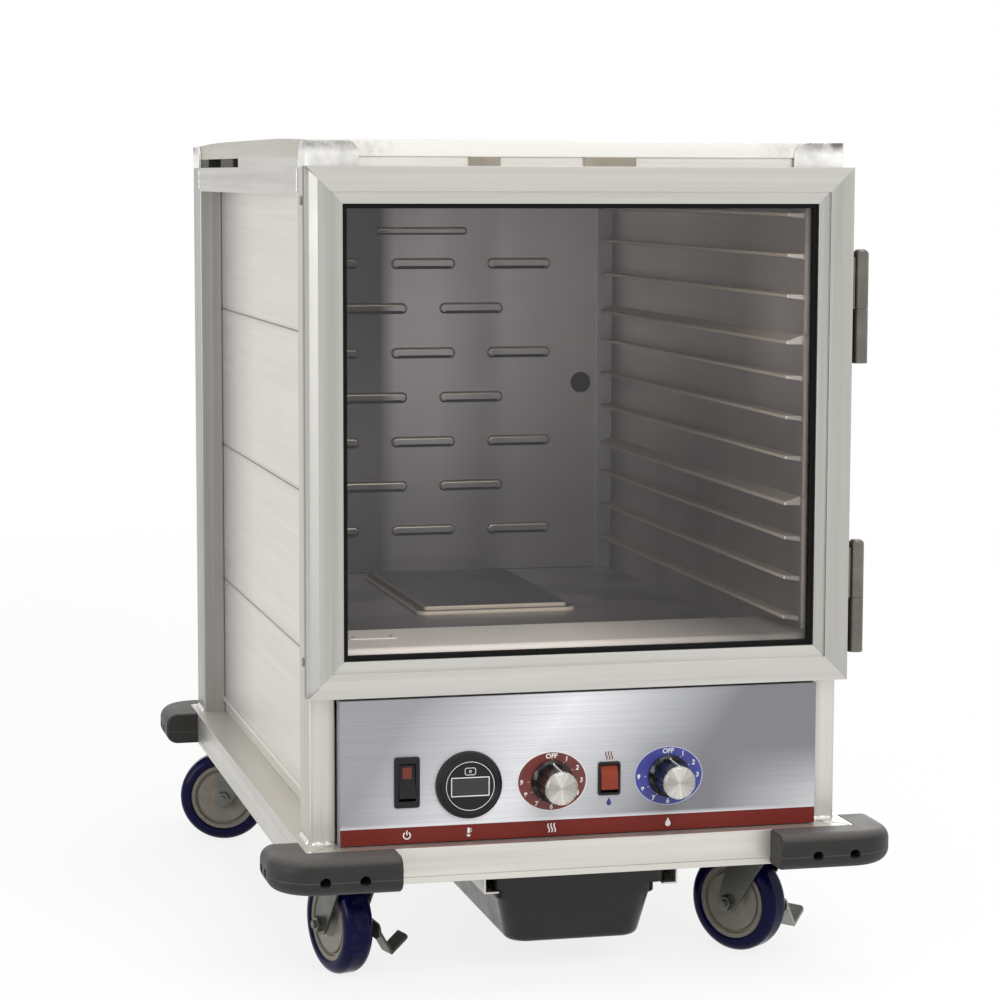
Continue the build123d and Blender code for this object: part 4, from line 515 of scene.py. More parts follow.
# Rubber of the bumpers: the line where its mould halves met, scuffs, and dust with painted light on top
def bumper_rubber():
    s = moulded("bumper_rubber", "#2b2a29", rough=0.5, grain=380.0, depth=0.25, edge=0.5)
    off_line = s.maths("ABSOLUTE", s.maths("SUBTRACT", s.axes["Z"], BUMPER_LINE_Z))
    line = s.between(off_line, *BUMPER_LINE, 0.3, 0.0)
    scuffs = s.between(s.noise(s.scaled((60.0, 60.0, 260.0)), 1.0, 4.0, 0.7), 0.6, 0.75, 0.0, 0.25)
    scuffed = s.mix(scuffs, s.base(), colour("#5c5957"))
    # Dust and painted light on the faces turned up
    dust_and_top_light = s.mix(s.facing_up(0.45, 0.95, 0.4), scuffed, colour("#7a7774"))
    s.set(Base_Color=s.mix(line, dust_and_top_light, colour("#6b6866")))
    return s


# Front of the drawer: brushed overlay with a painted slanting sheen, a red band along the bottom, and bare
# edges
def printed_overlay():
    s = aluminium("printed_overlay", OVERLAY_TONE, metal=0.5, shine=0.38, streak=0.1, blotch=0.2)
    bare = s.base()
    x = s.axes["X"]
    z = s.axes["Z"]
    across = s.noise(s.scaled((6.0, 1.0, 1500.0)), 1.0, 2.0)
    wash = s.noise(s.scaled((5.0, 1.0, 4.0)), 1.0, 1.0)
    # Painted sheen: a slanting band of painted reflection, lifted on the left and at the lower right
    slanted = s.maths("SUBTRACT", x, s.maths("MULTIPLY", z, OVERLAY_SLANT))
    shifted = s.maths("ADD", slanted, s.between(wash, 0.0, 1.0, *OVERLAY_SHEEN_SHIFT))
    sheen = s.between(s.maths("ABSOLUTE", shifted), 0.0, OVERLAY_SHEEN_REACH, 1.0, 0.0)
    left_sheen = s.between(x, *OVERLAY_LEFT_X, 0.0, 0.2)
    low_right_sheen = s.maths("MULTIPLY", s.between(x, *OVERLAY_RIGHT_X), s.between(z, *OVERLAY_LOW_Z))
    shine = s.maths("ADD", sheen, s.maths("MULTIPLY", low_right_sheen, 0.7), clamp=True)
    shine = s.maths("MAXIMUM", shine, left_sheen)
    tone = s.mix(shine, colour("#818286"), colour("#ebecf0"))
    tone = s.mix(s.between(across, 0.3, 0.7, 0.0, 0.25), tone, colour("#75767a"))
    in_band = s.between(z, STRIPE_TOP - FACE_BLEND, STRIPE_TOP, 1.0, 0.0)
    halo = s.between(z, STRIPE_TOP, STRIPE_TOP + BAND_HALO, 0.8, 0.0)
    tone = s.mix(halo, tone, colour("#dedfe2"))
    red = s.mix(s.between(across, 0.3, 0.7, 0.0, 0.3), colour("#6d241e"), colour("#5e1f19"))
    tone = s.mix(in_band, tone, red)
    on_front = s.between(s.axes["Y"], *[PANEL_Y + edge for edge in PRINT_EDGE], 1.0, 0.0)
    s.set(Base_Color=s.mix(on_front, bare, tone), Specular_IOR_Level=0.2)
    painted = s.maths("MULTIPLY", on_front, in_band)
    s.set(Metallic=s.maths("SUBTRACT", 0.5, s.maths("MULTIPLY", painted, 0.5)))
    return s


# Oval dial plate: enamelled colour with a pale rim
def dial_enamel(name, centre_x, tone, deep_tone, rim_tone):
    s = Shader(name)
    across = s.maths("DIVIDE", s.maths("SUBTRACT", s.axes["X"], centre_x), DIAL_RADII[0])
    upward = s.maths("DIVIDE", s.maths("SUBTRACT", s.axes["Z"], DIAL_Z), DIAL_RADII[1])
    rim = s.between(s.length(across, upward), 0.972, 0.982)
    cloud = s.noise(s.place, 70.0, 4.0)
    enamel = s.mix(s.between(cloud, 0.3, 0.7), colour(deep_tone), colour(tone))
    s.set(Base_Color=s.mix(rim, enamel, colour(rim_tone)), Roughness=s.between(cloud, 0.3, 0.7, 0.3, 0.42))
    s.set(Normal=s.bump(s.noise(s.place, 800.0, 2.0), 0.06, FINE_RELIEF, s.round_normal(DIAL_ROUNDING)))
    return s


# Knob: glossy black moulding, and a metal cap turned on a lathe
def knob_finish(name, centre_x):
    s = moulded(name, "#0c0c0d", rough=0.22, grain=300.0, depth=0.05, edge=0.6, coat=0.25)
    cap = s.add("ShaderNodeBsdfPrincipled")
    across = s.maths("SUBTRACT", s.axes["X"], centre_x)
    upward = s.maths("SUBTRACT", s.axes["Z"], DIAL_Z)
    angle = s.maths("ARCTAN2", upward, across)
    rays = s.noise(s.point(s.maths("COSINE", angle), s.maths("SINE", angle), 0.0), 4.0, 3.0, 0.6)
    # Painted sheen on the turned cap: darker in two opposite lobes
    swing = s.maths("COSINE", s.maths("MULTIPLY", angle, 2.0))
    twofold_sheen = s.maths("ADD", 0.5, s.maths("MULTIPLY", 0.5, swing))
    rings = s.maths("SINE", s.maths("MULTIPLY", s.length(across, upward), CAP_RING_RATE))
    tone = s.mix(s.between(rays, 0.3, 0.7), colour("#b7b5ad"), colour("#e2e0da"))
    tone = s.mix(s.maths("MULTIPLY", twofold_sheen, 0.55), tone, colour("#77756f"))
    s.join(cap.inputs["Base Color"], tone)
    s.join(cap.inputs["Metallic"], 0.85)
    s.join(cap.inputs["Roughness"], s.between(rays, 0.3, 0.7, 0.34, 0.22))
    s.join(cap.inputs["Normal"], s.bump(rings, 0.06, RING_RELIEF, s.round_normal(DIAL_ROUNDING)))
    is_cap = s.between(s.axes["Y"], KNOB_FACE_Y, KNOB_FACE_Y + CAP_BLEND, 1.0, 0.0)
    s.blend(is_cap, s.surface.outputs[0], cap.outputs[0])
    return s


# Clear pane: lets light through with a faintly smeared tint, and has a thin mirror gloss
def clear_pane():
    s = Shader("clear_pane")
    smears = s.noise(s.scaled((3.0, 3.0, 2.0)), 1.0, 5.0, 0.6)
    tint = s.mix(s.between(smears, 0.3, 0.7), colour("#fdfbfa"), colour("#faf8f7"))
    through = s.add("ShaderNodeBsdfTransparent", Color=tint)
    gloss = s.add("ShaderNodeBsdfGlossy", Roughness=s.between(smears, 0.3, 0.7, 0.004, 0.02))
    gloss.inputs["Color"].default_value = colour("#ffffff")
    grazing = s.maths("POWER", s.add("ShaderNodeLayerWeight", Blend=0.5).outputs["Facing"], 5.0)
    mirrored = s.between(grazing, 0.0, 1.0, 0.022, 0.7)
    s.blend(mirrored, through.outputs[0], gloss.outputs[0])
    return s


# Wheel tread: glossy navy polyurethane, a little worn where it rolls
def tread_finish(name, node_name):
    s = moulded(name, "#060638", rough=0.22, grain=250.0, depth=0.04, edge=0.2, coat=0.1, gleam=0.06)
    low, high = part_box(node_name)
    centre = (low + high) / 2
    distance = s.vector("DISTANCE", s.place, tuple(centre), output="Value")
    worn = s.between(distance, *TREAD_WORN_RADII)
    dust = s.between(s.noise(s.place, 130.0, 4.0, 0.7), 0.5, 0.75)
    s.tint(s.maths("MULTIPLY", worn, s.maths("MULTIPLY", dust, 0.3)), colour("#3a3a66"))
    return s


# Printing ink of the dial numbers, pointers and signs
def ink(name, tone):
    return moulded(name, tone, rough=0.45, grain=900.0, depth=0.05, edge=0.1)


# Signal lens in the power rocker
def lens_plastic():
    s = moulded("lens_plastic", "#6f2817", rough=0.22, grain=200.0, depth=0.05, edge=0.4, coat=0.3)
    ribs = s.maths("SINE", s.maths("MULTIPLY", s.axes["X"], LENS_RIB_RATE))
    s.set(Normal=s.bump(ribs, 0.2, FINE_RELIEF, s.round_normal(LENS_ROUNDING)))
    return s


# Motor, fan, elements and controls inside the drawer: steel with a straw tint from heat
def heated_steel():
    s = plated("heated_steel", "#7b7772", metal=0.8, rough=0.38)
    straw = s.between(s.noise(s.place, 22.0, 3.0), 0.45, 0.7)
    s.tint(s.maths("MULTIPLY", straw, 0.4), colour("#8a6a45"))
    return s


# Tones of the bare metal surfaces and the drawer's overlay
RAIL_TONE = "#d8d5ce"
TOP_RAIL_TONE = "#f0ede6"
POST_TONE = "#d4d1ca"
# The rear posts' tone is darker than the front posts': painted shade on the same metal
REAR_POST_TONE = "#a9a8a5"
WALL_TONE = "#d3d0c8"
DOOR_RAIL_TONE = "#c9c7c2"
# The stiles' tone is darker than the door rails': painted shade on the same metal
DOOR_STILE_TONE = "#b6b5b0"
INNER_TONE = "#b5b2b0"
LOUVRE_TONE = "#b8b8be"
FLOOR_SHEET_TONE = "#c2c1c5"
COVER_TONE = "#59585c"
SILL_TONE = "#fdfaf4"
ROOF_TONE = "#e9e7e1"
BRACKET_TONE = "#fbfaf6"
OVERLAY_TONE = "#b2b3b7"

# Every finish by its plain name
# The stiles get deep painted shade on their sides
stile_settings = {"upright": True, "shine": 0.4, "streak": 0.16, "side": 0.38}
finishes = {
    "rail": aluminium("rail_aluminium", RAIL_TONE, shine=0.38, streak=0.14),
    "top_rail": aluminium("top_rail_aluminium", TOP_RAIL_TONE, shine=0.38, streak=0.14, side=0.6),
    "post": aluminium("post_aluminium", POST_TONE, True, shine=0.4, streak=0.18),
    "rear_post": aluminium("rear_post_aluminium", REAR_POST_TONE, True, shine=0.4, streak=0.25, side=1.0),
    "wall": wall_sheet(),
    "back": back_sheet(),
    "door_across": aluminium("door_rail_aluminium", DOOR_RAIL_TONE, shine=0.36, streak=0.12),
    "door_upright": aluminium("door_stile_aluminium", DOOR_STILE_TONE, **stile_settings),
    "inner_sheet": inner_metal("inner_sheet", INNER_TONE),
    "floor_sheet": floor_sheet(),
    "cover_sheet": stepped_cover(),
    "louvres": louvred_sheet(),
    "sill_sheet": sill_sheet(),
    "weld": aluminium("weld_aluminium", "#e4e2de", metal=0.85, shine=0.34, streak=0.1, blotch=1.0),
    "roof": roof_sheet(),
    "bracket": bracket_metal(),
    "bumper": bumper_rubber(),
    "zinc": plated("zinc_plate", "#676863"),
    "hinge": plated("hinge_steel", "#7b7770", rough=0.3),
    "screw": plated("screw_steel", "#8a8a86", rough=0.28),
    "heated": heated_steel(),
    "overlay": printed_overlay(),
    "black": moulded("black_plastic", "#161617", rough=0.42),
    "gasket": moulded("black_gasket", "#0d0d0e", rough=0.6, grain=300.0, depth=0.3, gleam=0.15),
    "pan": moulded("pan_plastic", "#171513", rough=0.3, grain=260.0, depth=0.1, edge=0.8, gleam=0.4),
    "spacer": roof_spacer(),
    "orange": moulded("orange_plastic", "#8a3620", rough=0.35, edge=0.5),
    "hub": moulded("hub_plastic", "#8a857b", rough=0.4, grain=300.0, edge=0.6),
    # The front-left lever is the same steel as the front-right one, toned darker: painted shade
    "shaded_lever": plated("shaded_lever_steel", "#4a4844", metal=0.7, rough=0.32),
    "pale_lever": plated("pale_lever_steel", "#a3a29e", metal=0.8, rough=0.34),
    "pane": clear_pane(),
    "lens": lens_plastic(),
    "white_ink": ink("white_ink", "#efefee"),
    "red_ink": ink("red_ink", "#6b2d2a"),
    "blue_ink": ink("blue_ink", "#3b3f87"),
    "display": moulded("display_window", "#262728", rough=0.12, grain=150.0, depth=0.03, coat=0.4),
    "red_dial": dial_enamel("red_dial_enamel", HEAT_X, "#6f2f2b", "#632824", "#e6e4e2"),
    "blue_dial": dial_enamel("blue_dial_enamel", HUMIDITY_X, "#3b3f8c", "#343880", "#b9bcd6"),
    "heat_knob": knob_finish("heat_knob_finish", HEAT_X),
    "humidity_knob": knob_finish("humidity_knob_finish", HUMIDITY_X),
}

# Which nodes have which finish
finish_nodes = {
    "rail": ("base_rails", "deck_and_caster_pads", "pan_runners"),
    "bumper": ("front_bumpers", "rear_bumpers"),
    "screw": ("frame_screws",),
    "post": ("front_posts",),
    "rear_post": ("rear_posts",),
    "top_rail": ("top_frame_rails",),
    "spacer": ("roof_spacers",),
    "bracket": ("top_corner_brackets",),
    "roof": ("roof_cover",),
    "wall": ("left_wall_planks", "right_wall_planks"),
    "back": ("back_panel",),
    "black": ("cord_gland", "switch_housings", "thermometer", "power_rocker"),
    "inner_sheet": ("ceiling_panel", "drawer_box"),
    "louvres": ("louvre_panel",),
    "floor_sheet": ("cavity_floor",),
    "cover_sheet": ("floor_vent_cover",),
    "sill_sheet": ("door_sill",),
    "hinge": ("hinge_frame_leaves", "hinge_door_leaves"),
    "zinc": ("caster_plates",),
    "door_across": ("door_top_rail", "door_bottom_rail"),
    "door_upright": ("door_left_stile", "door_right_stile"),
    "gasket": ("glazing_gasket", "door_seal"),
    "pane": ("door_pane",),
    "overlay": ("control_panel",),
    "red_dial": ("heat_dial_plate",),
    "blue_dial": ("humidity_dial_plate",),
    "heated": ("rotary_controls", "fan_motor", "heating_elements", "fan_wheel"),
    "heat_knob": ("heat_knob",),
    "humidity_knob": ("humidity_knob",),
    "orange": ("mode_rocker",),
    "pan": ("water_pan",),
    "shaded_lever": ("front_left_brake_lever",),
    "pale_lever": ("front_right_brake_lever",),
}
node_finishes = {node: finish for finish, nodes in finish_nodes.items() for node in nodes}
for caster in ("front_left", "front_right", "rear_left", "rear_right"):
    node_finishes[f"{caster}_fork"] = "zinc"
    node_finishes[f"{caster}_hub"] = "hub"
    finishes[f"{caster}_tread"] = tread_finish(f"{caster}_tread_finish", f"{caster}_tread")
    node_finishes[f"{caster}_tread"] = f"{caster}_tread"


def dress_nodes():
    for node_name, node_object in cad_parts.items():
        finish = finishes[node_finishes[node_name]].material
        for slot in node_object.material_slots:
            slot.link = "OBJECT"
            slot.material = finish


dress_nodes()


# Makes a piece from a mesh built in the shared frame, and lets it ride on a body
def add_piece(name, mesh, finish, body):
    data = bpy.data.meshes.new(name)
    mesh.normal_update()
    mesh.to_mesh(data)
    mesh.free()
    piece = bpy.data.objects.new(name, data)
    bpy.context.scene.collection.objects.link(piece)
    data.materials.append(finishes[finish].material)
    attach(piece, body)


# Joins two rings of as many points with faces
def join_rings(mesh, first, second):
    count = len(first)
    for i in range(count):
        j = (i + 1) % count
        mesh.faces.new((first[i], first[j], second[j], second[i]))


# Lays a flat outline as thick as print on a plane that faces -Y; inner cuts a hole of as many points
def lay_outline(mesh, outer, face_y, inner=None):
    front = face_y - PRINT_THICKNESS
    loops = [outer] if inner is None else [outer, inner]
    rings = [[[mesh.verts.new((x, y, z)) for x, z in loop] for y in (front, face_y)] for loop in loops]
    for ring in rings:
        join_rings(mesh, *ring)
    if inner is None:
        mesh.faces.new(rings[0][0])
    else:
        join_rings(mesh, rings[0][0], rings[1][0])


def oval(centre_x, centre_z, radius_x, radius_z, count=96):
    turns = [2 * math.pi * i / count for i in range(count)]
    return [(centre_x + radius_x * math.cos(t), centre_z + radius_z * math.sin(t)) for t in turns]


def rounded_box(centre_x, centre_z, width, height, radius, steps=6):
    points = []
    for quarter, (x_side, z_side) in enumerate(((1, 1), (-1, 1), (-1, -1), (1, -1))):
        for step in range(steps + 1):
            turn = math.pi / 2 * (quarter + step / steps)
            x = centre_x + x_side * (width / 2 - radius) + radius * math.cos(turn)
            z = centre_z + z_side * (height / 2 - radius) + radius * math.sin(turn)
            points.append((x, z))
    return points


# A printed line around a shape: an oval by its radii, or a rounded box by its size and corner radius
def line_border(mesh, shape, face_y, *measures, width):
    centre_x, centre_z, size_x, size_z, *corner = measures
    shrink = width if shape is oval else 2 * width
    outer = shape(centre_x, centre_z, size_x, size_z, *corner)
    inner_corner = [max(radius - width, SMALLEST_CORNER) for radius in corner]
    inner = shape(centre_x, centre_z, size_x - shrink, size_z - shrink, *inner_corner)
    lay_outline(mesh, outer, face_y, inner)


# A printed stroke of even width along a chain of points
def lay_stroke(mesh, chain, width, face_y):
    left, right = [], []
    for i, (x, z) in enumerate(chain):
        before = Vector(chain[max(i - 1, 0)])
        after = Vector(chain[min(i + 1, len(chain) - 1)])
        run = (after - before).normalized()
        left.append((x - run.y * width / 2, z + run.x * width / 2))
        right.append((x + run.y * width / 2, z - run.x * width / 2))
    lay_outline(mesh, left + right[::-1], face_y)


def arc_chain(centre_x, centre_z, radius, start_deg, end_deg, steps=24):
    turns = [math.radians(start_deg + (end_deg - start_deg) * i / steps) for i in range(steps + 1)]
    return [(centre_x + radius * math.cos(t), centre_z + radius * math.sin(t)) for t in turns]


# Letters for the dial numbers, turned into a mesh and laid on a plane that faces -Y
LETTER_WEIGHT = 0.03
LETTER_SLANT = 0.12


def lay_text(mesh, text, centre_x, centre_z, height, face_y):
    curve = bpy.data.curves.new("lettering", "FONT")
    curve.body = text
    curve.size = 1.0
    curve.offset = LETTER_WEIGHT
    curve.shear = LETTER_SLANT
    curve.align_x = "CENTER"
    curve.align_y = "CENTER"
    holder = bpy.data.objects.new("lettering", curve)
    flat = bpy.data.meshes.new_from_object(holder)
    letters = bmesh.new()
    letters.from_mesh(flat)
    highest = max(v.co.y for v in letters.verts)
    lowest = min(v.co.y for v in letters.verts)
    size = height / (highest - lowest)
    middle = (highest + lowest) / 2
    copies = {}
    for v in letters.verts:
        place = (centre_x + v.co.x * size, face_y - PRINT_THICKNESS, centre_z + (v.co.y - middle) * size)
        copies[v] = mesh.verts.new(place)
    for face in letters.faces:
        mesh.faces.new([copies[v] for v in face.verts])
    letters.free()
    bpy.data.objects.remove(holder)
    bpy.data.curves.remove(curve)
    bpy.data.meshes.remove(flat)


# Numbers and ticks of one dial, on ovals; a tick runs inwards to a share of its oval
NUMBER_RADII = (0.0296, 0.0245)
NUMBER_SHIFT = -0.0008
NUMBER_HEIGHT = 0.0049
NUMBER_STEP_DEG = 30
TICK_RADII = (0.0243, 0.0209)
TICK_SHARES = (1.0, 0.93)
TICK_WIDTH = 0.0005


def dial_marks(name, centre_x):
    mesh = bmesh.new()
    for number in range(10):
        turn = math.radians(90 - NUMBER_STEP_DEG * number)
        across = math.cos(turn)
        upward = math.sin(turn)
        x = centre_x + NUMBER_SHIFT + NUMBER_RADII[0] * across
        z = DIAL_Z + NUMBER_RADII[1] * upward
        lay_text(mesh, str(number) if number else "OFF", x, z, NUMBER_HEIGHT, DIAL_Y)
        tick = []
        for share in TICK_SHARES:
            x = centre_x + TICK_RADII[0] * share * across
            z = DIAL_Z + TICK_RADII[1] * share * upward
            tick.append((x, z))
        lay_stroke(mesh, tick, TICK_WIDTH, DIAL_Y)
    add_piece(name, mesh, "white_ink", "drawer")


dial_marks("heat_dial_numbers", HEAT_X)
dial_marks("humidity_dial_numbers", HUMIDITY_X)


# White pointer that runs over a knob from its skirt to its cap
SKIRT_RADIUS = 0.0205
BODY_RADIUS = 0.01725
TOP_RADIUS = 0.016
CAP_RADIUS = 0.0145
SKIRT_RISE = 0.006
POINTER_LIFT = 0.00012
POINTER_HALF_WIDTH = 0.0006
POINTER_START_INSET = 0.0006
POINTER_END_GAP = 0.0002


def knob_pointer(name, centre_x, body):
    rise = (
        (KNOB_BASE_Y - SKIRT_RISE / 3, SKIRT_RADIUS - POINTER_START_INSET),
        (KNOB_BASE_Y - SKIRT_RISE, BODY_RADIUS),
        (KNOB_FACE_Y, TOP_RADIUS),
        (KNOB_FACE_Y, CAP_RADIUS + POINTER_END_GAP),
    )
    mesh = bmesh.new()
    sides = []
    for x_side in (-1, 1):
        x = centre_x + x_side * POINTER_HALF_WIDTH
        inner = [mesh.verts.new((x, y, DIAL_Z + radius - POINTER_LIFT)) for y, radius in rise]
        outer = [mesh.verts.new((x, y - POINTER_LIFT, DIAL_Z + radius + POINTER_LIFT)) for y, radius in rise]
        sides.append((inner, outer))
    (left_in, left_out), (right_in, right_out) = sides
    for i in range(len(rise) - 1):
        mesh.faces.new((left_out[i], left_out[i + 1], right_out[i + 1], right_out[i]))
        mesh.faces.new((left_in[i], left_in[i + 1], left_out[i + 1], left_out[i]))
        mesh.faces.new((right_out[i], right_out[i + 1], right_in[i + 1], right_in[i]))
    for i in (0, len(rise) - 1):
        mesh.faces.new((left_in[i], left_out[i], right_out[i], right_in[i]))
    add_piece(name, mesh, "white_ink", body)


knob_pointer("heat_knob_pointer", HEAT_X, "heat_knob_body")
knob_pointer("humidity_knob_pointer", HUMIDITY_X, "humidity_knob_body")


# Face of the thermometer: a ring, the display window in its border, and a small box with a ring in it
FACE_RING = (GAUGE_X, GAUGE_Z, 0.0236, 0.0236)
WINDOW_Z = GAUGE_Z - 0.0006
WINDOW = (GAUGE_X, WINDOW_Z, 0.0352, 0.0164, 0.0004)
WINDOW_BORDER = (GAUGE_X, WINDOW_Z, 0.0374, 0.0186, 0.0006)
SMALL_BOX_Z = GAUGE_Z + 0.0142
SMALL_BOX = (GAUGE_X, SMALL_BOX_Z, 0.0108, 0.0072, 0.002)
SMALL_RING = (GAUGE_X, SMALL_BOX_Z, 0.0013, 0.0013)


def thermometer_face():
    mesh = bmesh.new()
    line_border(mesh, oval, GAUGE_FACE_Y, *FACE_RING, width=0.0006)
    line_border(mesh, rounded_box, GAUGE_FACE_Y, *WINDOW_BORDER, width=0.0009)
    line_border(mesh, rounded_box, GAUGE_FACE_Y, *SMALL_BOX, width=0.0006)
    line_border(mesh, oval, GAUGE_FACE_Y, *SMALL_RING, width=0.0005)
    add_piece("thermometer_markings", mesh, "white_ink", "drawer")
    window = bmesh.new()
    lay_outline(window, rounded_box(*WINDOW), GAUGE_FACE_Y)
    add_piece("thermometer_display", window, "display", "drawer")


thermometer_face()


# Plain signs under the controls and beside the mode switch; their shares are of the sign's height
SIGN_HEIGHT = 0.0088
MODE_SIGN_HEIGHT = SIGN_HEIGHT * 0.9
BAND_SIGN_Z = 0.1558
MODE_HEAT_SIGN_Z = 0.2236
MODE_MOIST_SIGN_Z = 0.1788
STROKE_SHARE = 0.13
WAVE_STEPS = 16
WAVE_SWAY_SHARE = 0.09
WAVE_PITCH_SHARE = 0.34
DROP_RADIUS_SHARE = 0.31
POWER_RADIUS_SHARE = 0.38
POWER_DROP_SHARE = 0.04
BULB_SHARE = 0.2
STEM_SHARE = 0.14
MARK_REACH_SHARES = (0.2, 0.36)
MARK_RISE_SHARES = (0.05, 0.21, 0.37)
MARK_WIDTH_SHARE = 0.07


def heat_waves(mesh, centre_x, centre_z, height):
    for column in (-1, 0, 1):
        chain = []
        for step in range(WAVE_STEPS + 1):
            share = step / WAVE_STEPS
            sway = math.sin(share * 2 * math.pi) * height * WAVE_SWAY_SHARE
            x = centre_x + column * height * WAVE_PITCH_SHARE + sway
            chain.append((x, centre_z + (share - 0.5) * height))
        lay_stroke(mesh, chain, height * STROKE_SHARE, PANEL_Y)


def water_drop(mesh, centre_x, centre_z, height):
    radius = height * DROP_RADIUS_SHARE
    low_z = centre_z - height / 2 + radius
    points = arc_chain(centre_x, low_z, radius, start_deg=155, end_deg=385)
    points.append((centre_x, centre_z + height / 2))
    lay_outline(mesh, points, PANEL_Y)


def power_sign(mesh, centre_x, centre_z, height):
    low_z = centre_z - height * POWER_DROP_SHARE
    ring = arc_chain(centre_x, low_z, height * POWER_RADIUS_SHARE, start_deg=125, end_deg=415)
    bar = [(centre_x, centre_z + height / 2), (centre_x, centre_z)]
    for chain in (ring, bar):
        lay_stroke(mesh, chain, height * STROKE_SHARE, PANEL_Y)


def thermometer_sign(mesh, centre_x, centre_z, height):
    bulb = height * BULB_SHARE
    stem = height * STEM_SHARE
    lay_outline(mesh, oval(centre_x, centre_z - height / 2 + bulb, bulb, bulb, 32), PANEL_Y)
    column = rounded_box(centre_x, centre_z + bulb / 2, 2 * stem, height - bulb, stem * 0.98)
    lay_outline(mesh, column, PANEL_Y)
    for rise in MARK_RISE_SHARES:
        mark = [(centre_x + height * reach, centre_z + height * rise) for reach in MARK_REACH_SHARES]
        lay_stroke(mesh, mark, height * MARK_WIDTH_SHARE, PANEL_Y)


band_signs = bmesh.new()
power_sign(band_signs, POWER_X, BAND_SIGN_Z, SIGN_HEIGHT)
thermometer_sign(band_signs, GAUGE_X, BAND_SIGN_Z, SIGN_HEIGHT)
heat_waves(band_signs, HEAT_X, BAND_SIGN_Z, SIGN_HEIGHT)
water_drop(band_signs, HUMIDITY_X, BAND_SIGN_Z, SIGN_HEIGHT)
add_piece("band_signs", band_signs, "white_ink", "drawer")
heat_sign = bmesh.new()
heat_waves(heat_sign, MODE_X, MODE_HEAT_SIGN_Z, MODE_SIGN_HEIGHT)
add_piece("mode_heat_sign", heat_sign, "red_ink", "drawer")
moist_sign = bmesh.new()
water_drop(moist_sign, MODE_X, MODE_MOIST_SIGN_Z, MODE_SIGN_HEIGHT)
add_piece("mode_moist_sign", moist_sign, "blue_ink", "drawer")


# Signal lens let into the upper half of the power rocker, tilted with it
ROCKER_HALF_HEIGHT = 0.0164
ROCKER_MIDDLE_PROUD = 0.0012
ROCKER_TOP_PROUD = 0.003
LENS_SIZE = (0.0098, 0.012)
LENS_RISE = 0.002
LENS_PROUD = 0.0005
LENS_SUNK = 0.001
LENS_CORNER = 0.0005


def power_lens():
    slope = (ROCKER_TOP_PROUD - ROCKER_MIDDLE_PROUD) / ROCKER_HALF_HEIGHT
    mesh = bmesh.new()
    bmesh.ops.create_cube(mesh, size=1.0)
    for v in mesh.verts:
        depth = -LENS_PROUD if v.co.y < 0 else LENS_SUNK
        rise = LENS_RISE + (v.co.z + 0.5) * LENS_SIZE[1]
        y = PANEL_Y - ROCKER_MIDDLE_PROUD - slope * rise + depth
        v.co = Vector((POWER_X + v.co.x * LENS_SIZE[0], y, POWER_Z + rise))
    bmesh.ops.bevel(mesh, geom=mesh.edges[:], offset=LENS_CORNER, segments=2, affect="EDGES")
    pivot = Vector((POWER_X, ROCKER_PIVOT_Y, POWER_Z))
    bmesh.ops.rotate(mesh, cent=pivot, matrix=Matrix.Rotation(ROCKER_TILT, 3, "X"), verts=mesh.verts)
    add_piece("power_lens", mesh, "lens", "power_rocker_body")


power_lens()


# A weld bead: overlapping flattened blobs along a line
BEAD_SIDES = 10
BEAD_STEP = 0.28
BEAD_FLATNESS = 0.55
RIPPLE_SIZE = 0.14
RIPPLE_RATE = 2.6
WANDER_SIZE = 0.12
WANDER_RATES = (17.0, 900.0)


def weld_bead(mesh, start, end, outward, radius):
    start = Vector(start)
    end = Vector(end)
    outward = Vector(outward).normalized()
    run = (end - start).normalized()
    across = run.cross(outward)
    length = (end - start).length
    ring_count = max(int(length / (radius * BEAD_STEP)), 4)
    rings = []
    for i in range(ring_count + 1):
        share = i / ring_count
        ripple = 1 - RIPPLE_SIZE + RIPPLE_SIZE * abs(math.sin(share * length / radius * RIPPLE_RATE))
        wander = 1 + WANDER_SIZE * math.sin(share * WANDER_RATES[0] + length * WANDER_RATES[1])
        taper = min(1.0, math.sqrt(max(min(share, 1 - share) * length / radius, 0.02)))
        size = radius * ripple * wander * taper
        ring = []
        for k in range(BEAD_SIDES):
            turn = 2 * math.pi * k / BEAD_SIDES
            offset = across * math.cos(turn) * size + outward * math.sin(turn) * size * BEAD_FLATNESS
            ring.append(mesh.verts.new(start + run * length * share + offset))
        rings.append(ring)
    for first, second in zip(rings, rings[1:]):
        join_rings(mesh, first, second)
    mesh.faces.new(rings[0][::-1])
    mesh.faces.new(rings[-1])


# Beads around the feet of the posts, on the mitres of the base, and where the top rails meet the posts
BEAD_GAP = 0.0004
FOOT_BEAD_Z = BASE_TOP + 0.0008
FOOT_BEAD_INSET = 0.004
FOOT_END_OUTER_INSET = 0.002
FOOT_END_INNER_REACH = 0.001
FOOT_SIDE_RADIUS = 0.0042
FOOT_END_RADIUS = 0.0036
MITRE_LENGTH = 0.026
MITRE_INSET = 0.003
MITRE_RADIUS = 0.0022
RAIL_BEAD_INSET = 0.002
RAIL_SIDE_RADIUS = 0.0018
RAIL_FACE_RADIUS = 0.0012


